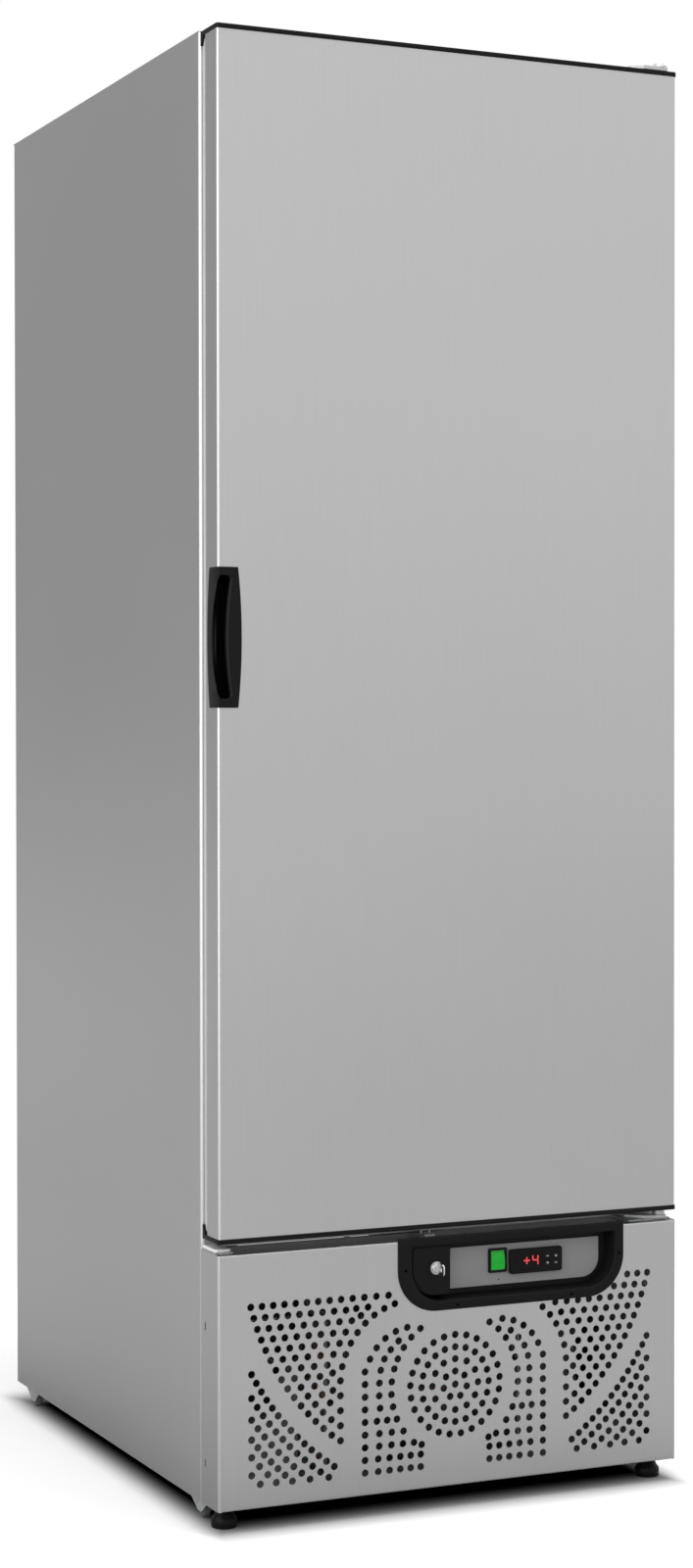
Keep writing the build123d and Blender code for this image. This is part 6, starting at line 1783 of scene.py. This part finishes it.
# %% Compressor
e = extent("compressor")
COMP_X, COMP_Y = 150 * MM, y_at(560)
SOLE = 52 * MM
SHELL = 91.5 * MM
bm = bmesh.new()
profile = domed(SHELL, 30 * MM, 34 * MM, outward=-1)[::-1]
profile += [(SHELL, 34 * MM), (SHELL, 74 * MM), (SHELL + 0.4 * MM, 75 * MM), (SHELL + 0.4 * MM, 80 * MM),
            (SHELL - 1 * MM, 81 * MM), (SHELL - 1 * MM, 100 * MM)]
profile += domed(SHELL - 1 * MM, 55 * MM, 100 * MM, 12)
lathe(bm, (COMP_X, COMP_Y, SOLE), "Z", profile, 64)
sole = pane(COMP_X - 105 * MM, COMP_X + 105 * MM, COMP_Y - 62 * MM, COMP_Y + 62 * MM, 12 * MM)
push(bm, sole, "Z", SOLE, SOLE + 3 * MM)
for across, behind in drawn((-60, 0), (30, 30)):
    lathe(bm, (COMP_X + across, COMP_Y + behind, 0), "Z", drawn((7.5, 165), (7.5, 208), (6.6, 215.5)), 24)
piece("compressor_shell", bm, "compressor", angle=30, bevel=0.3 * MM)
bm = bmesh.new()
push(bm, pane(COMP_Y - 32 * MM, COMP_Y + 32 * MM, SOLE + 40 * MM, SOLE + 104 * MM, 8 * MM), "X",
     COMP_X + 84 * MM, e.right - 0.5 * MM)
piece("terminal_cover", bm, "compressor", finish_name="grey_box", bevel=1.5 * MM)
grommet = drawn((9, 0), (9, 6), (7.4, 8), (7.4, 12), (9, 14), (9, 20))
bm = bmesh.new()
for across, behind in drawn((-92, -50), (-92, 50), (92, -50), (92, 50)):
    lathe(bm, (COMP_X + across, COMP_Y + behind, e.low), "Z", grommet, 24)
piece("compressor_mounts", bm, "compressor", finish_name="button_plastic", bevel=0.4 * MM)

# %% [markdown]
# Copper pipes leave the compressor: one forward to the condenser, one back and up to the cooler.

# %% Pipes
HOT_X, HOT_Y = 90 * MM, y_at(560)
SUCTION_X, SUCTION_Y = 180 * MM, y_at(590)
HOT_END = y_at(130)
SUCTION_END = y_at(790)
STUB_TOP = 216 * MM
HOT_TOP = 300 * MM
SUCTION_TOP = 340 * MM
hot = bent([(HOT_X, HOT_Y, STUB_TOP), (HOT_X, HOT_Y, HOT_TOP), (HOT_X, HOT_END, HOT_TOP),
            (HOT_X, HOT_END, extent("condenser").high)], 24 * MM)
suction = bent([(SUCTION_X, SUCTION_Y, STUB_TOP), (SUCTION_X, SUCTION_Y, SUCTION_TOP),
                (SUCTION_X, SUCTION_END, SUCTION_TOP),
                (SUCTION_X, SUCTION_END, extent("refrigerant_pipes").high)], 16 * MM)
rods("hot_pipe", [hot], 4.9 * MM, "refrigerant_pipes", sides=6, angle=60)
rods("suction_pipe", [suction], 5.9 * MM, "refrigerant_pipes", sides=6, angle=60)

# %% [markdown]
# The condensate tray is a thin moulding with leaning walls and a rolled edge.
# Rings go up its outside, over the rim and down its inside, like the liner.

# %% Condensate tray
e = extent("condensate_tray")
TRAY_SECTION = ((6, 0, 12), (1.5, 4, 15), (0.8, 50, 16), (0, 51, 16), (0, 54.3, 16), (2.4, 54.3, 14),
                (2.8, 52, 14), (3.5, 6, 13), (8, 2, 10))
bm = bmesh.new()
rings = []
for inset, level, radius in TRAY_SECTION:
    outline = pane(e.left + inset * MM, e.right - inset * MM, e.front + inset * MM, e.back - inset * MM,
                   radius * MM)
    rings.append([(x, y, e.low + level * MM) for x, y in outline])
skin(bm, rings)
piece("tray_moulding", bm, "condensate_tray", angle=40)

# %% [markdown]
# The mains gland clamps the lead in the casing's rear wall: two nuts and a ribbed dome, all hollow.
# A profile turned with six sides is a nut, and with many sides it is the dome.

# %% Mains gland
e = extent("power_gland")
bm = bmesh.new()
GLAND = (e.x, 0, e.z)
WALL_FRONT, WALL_BACK = y_at(846.5), y_at(848)


def hollow_turn(profile, sides):
    """A turned ring of the gland from radii in millimetres and places along y."""
    lathe(bm, GLAND, "Y", [(r * MM, y) for r, y in profile], sides, hollow=True)


hollow_turn([(4.6, e.front), (11.6, e.front), (11.6, WALL_FRONT), (4.6, WALL_FRONT)], 6)
hollow_turn([(4.6, WALL_FRONT), (7.8, WALL_FRONT), (7.8, WALL_BACK), (4.6, WALL_BACK)], 32)
hollow_turn([(4.6, WALL_BACK), (11.6, WALL_BACK), (11.6, WALL_BACK + 5 * MM), (4.6, WALL_BACK + 5 * MM)], 6)
dome = [(4.6, WALL_BACK + 5 * MM), (9.6, WALL_BACK + 5 * MM)]
for k in range(3):
    dome += [(9.6, WALL_BACK + (6 + 2 * k) * MM), (9.1, WALL_BACK + (7 + 2 * k) * MM)]
dome += [(9.0, WALL_BACK + 13 * MM), (8.2, e.back - 2 * MM), (6.4, e.back), (4.6, e.back)]
hollow_turn(dome, 40)
piece("gland_nuts", bm, "power_gland", bevel=0.3 * MM)

# %% [markdown]
# A long lamp lights the chamber from behind the front frame, under a pale diffuser.

# %% Chamber lamp
e = extent("interior_lamp")
bm = bmesh.new()
section = rounded([(e.front, e.high, 0), (e.back, e.high, 0), (e.back, e.low + 6 * MM, 4 * MM),
                   (e.back - 7 * MM, e.low, 5 * MM), (e.front + 7 * MM, e.low, 5 * MM),
                   (e.front, e.low + 6 * MM, 4 * MM)])
push(bm, section, "X", e.left + 6 * MM, e.right - 6 * MM)
piece("lamp_diffuser", bm, "interior_lamp", bevel=0.6 * MM)
bm = bmesh.new()
for side in (-1, 1):
    push(bm, section, "X", side * e.right, side * (e.right - 7 * MM))
piece("lamp_ends", bm, slot="button_plastic", body="cabinet", bevel=0.8 * MM)
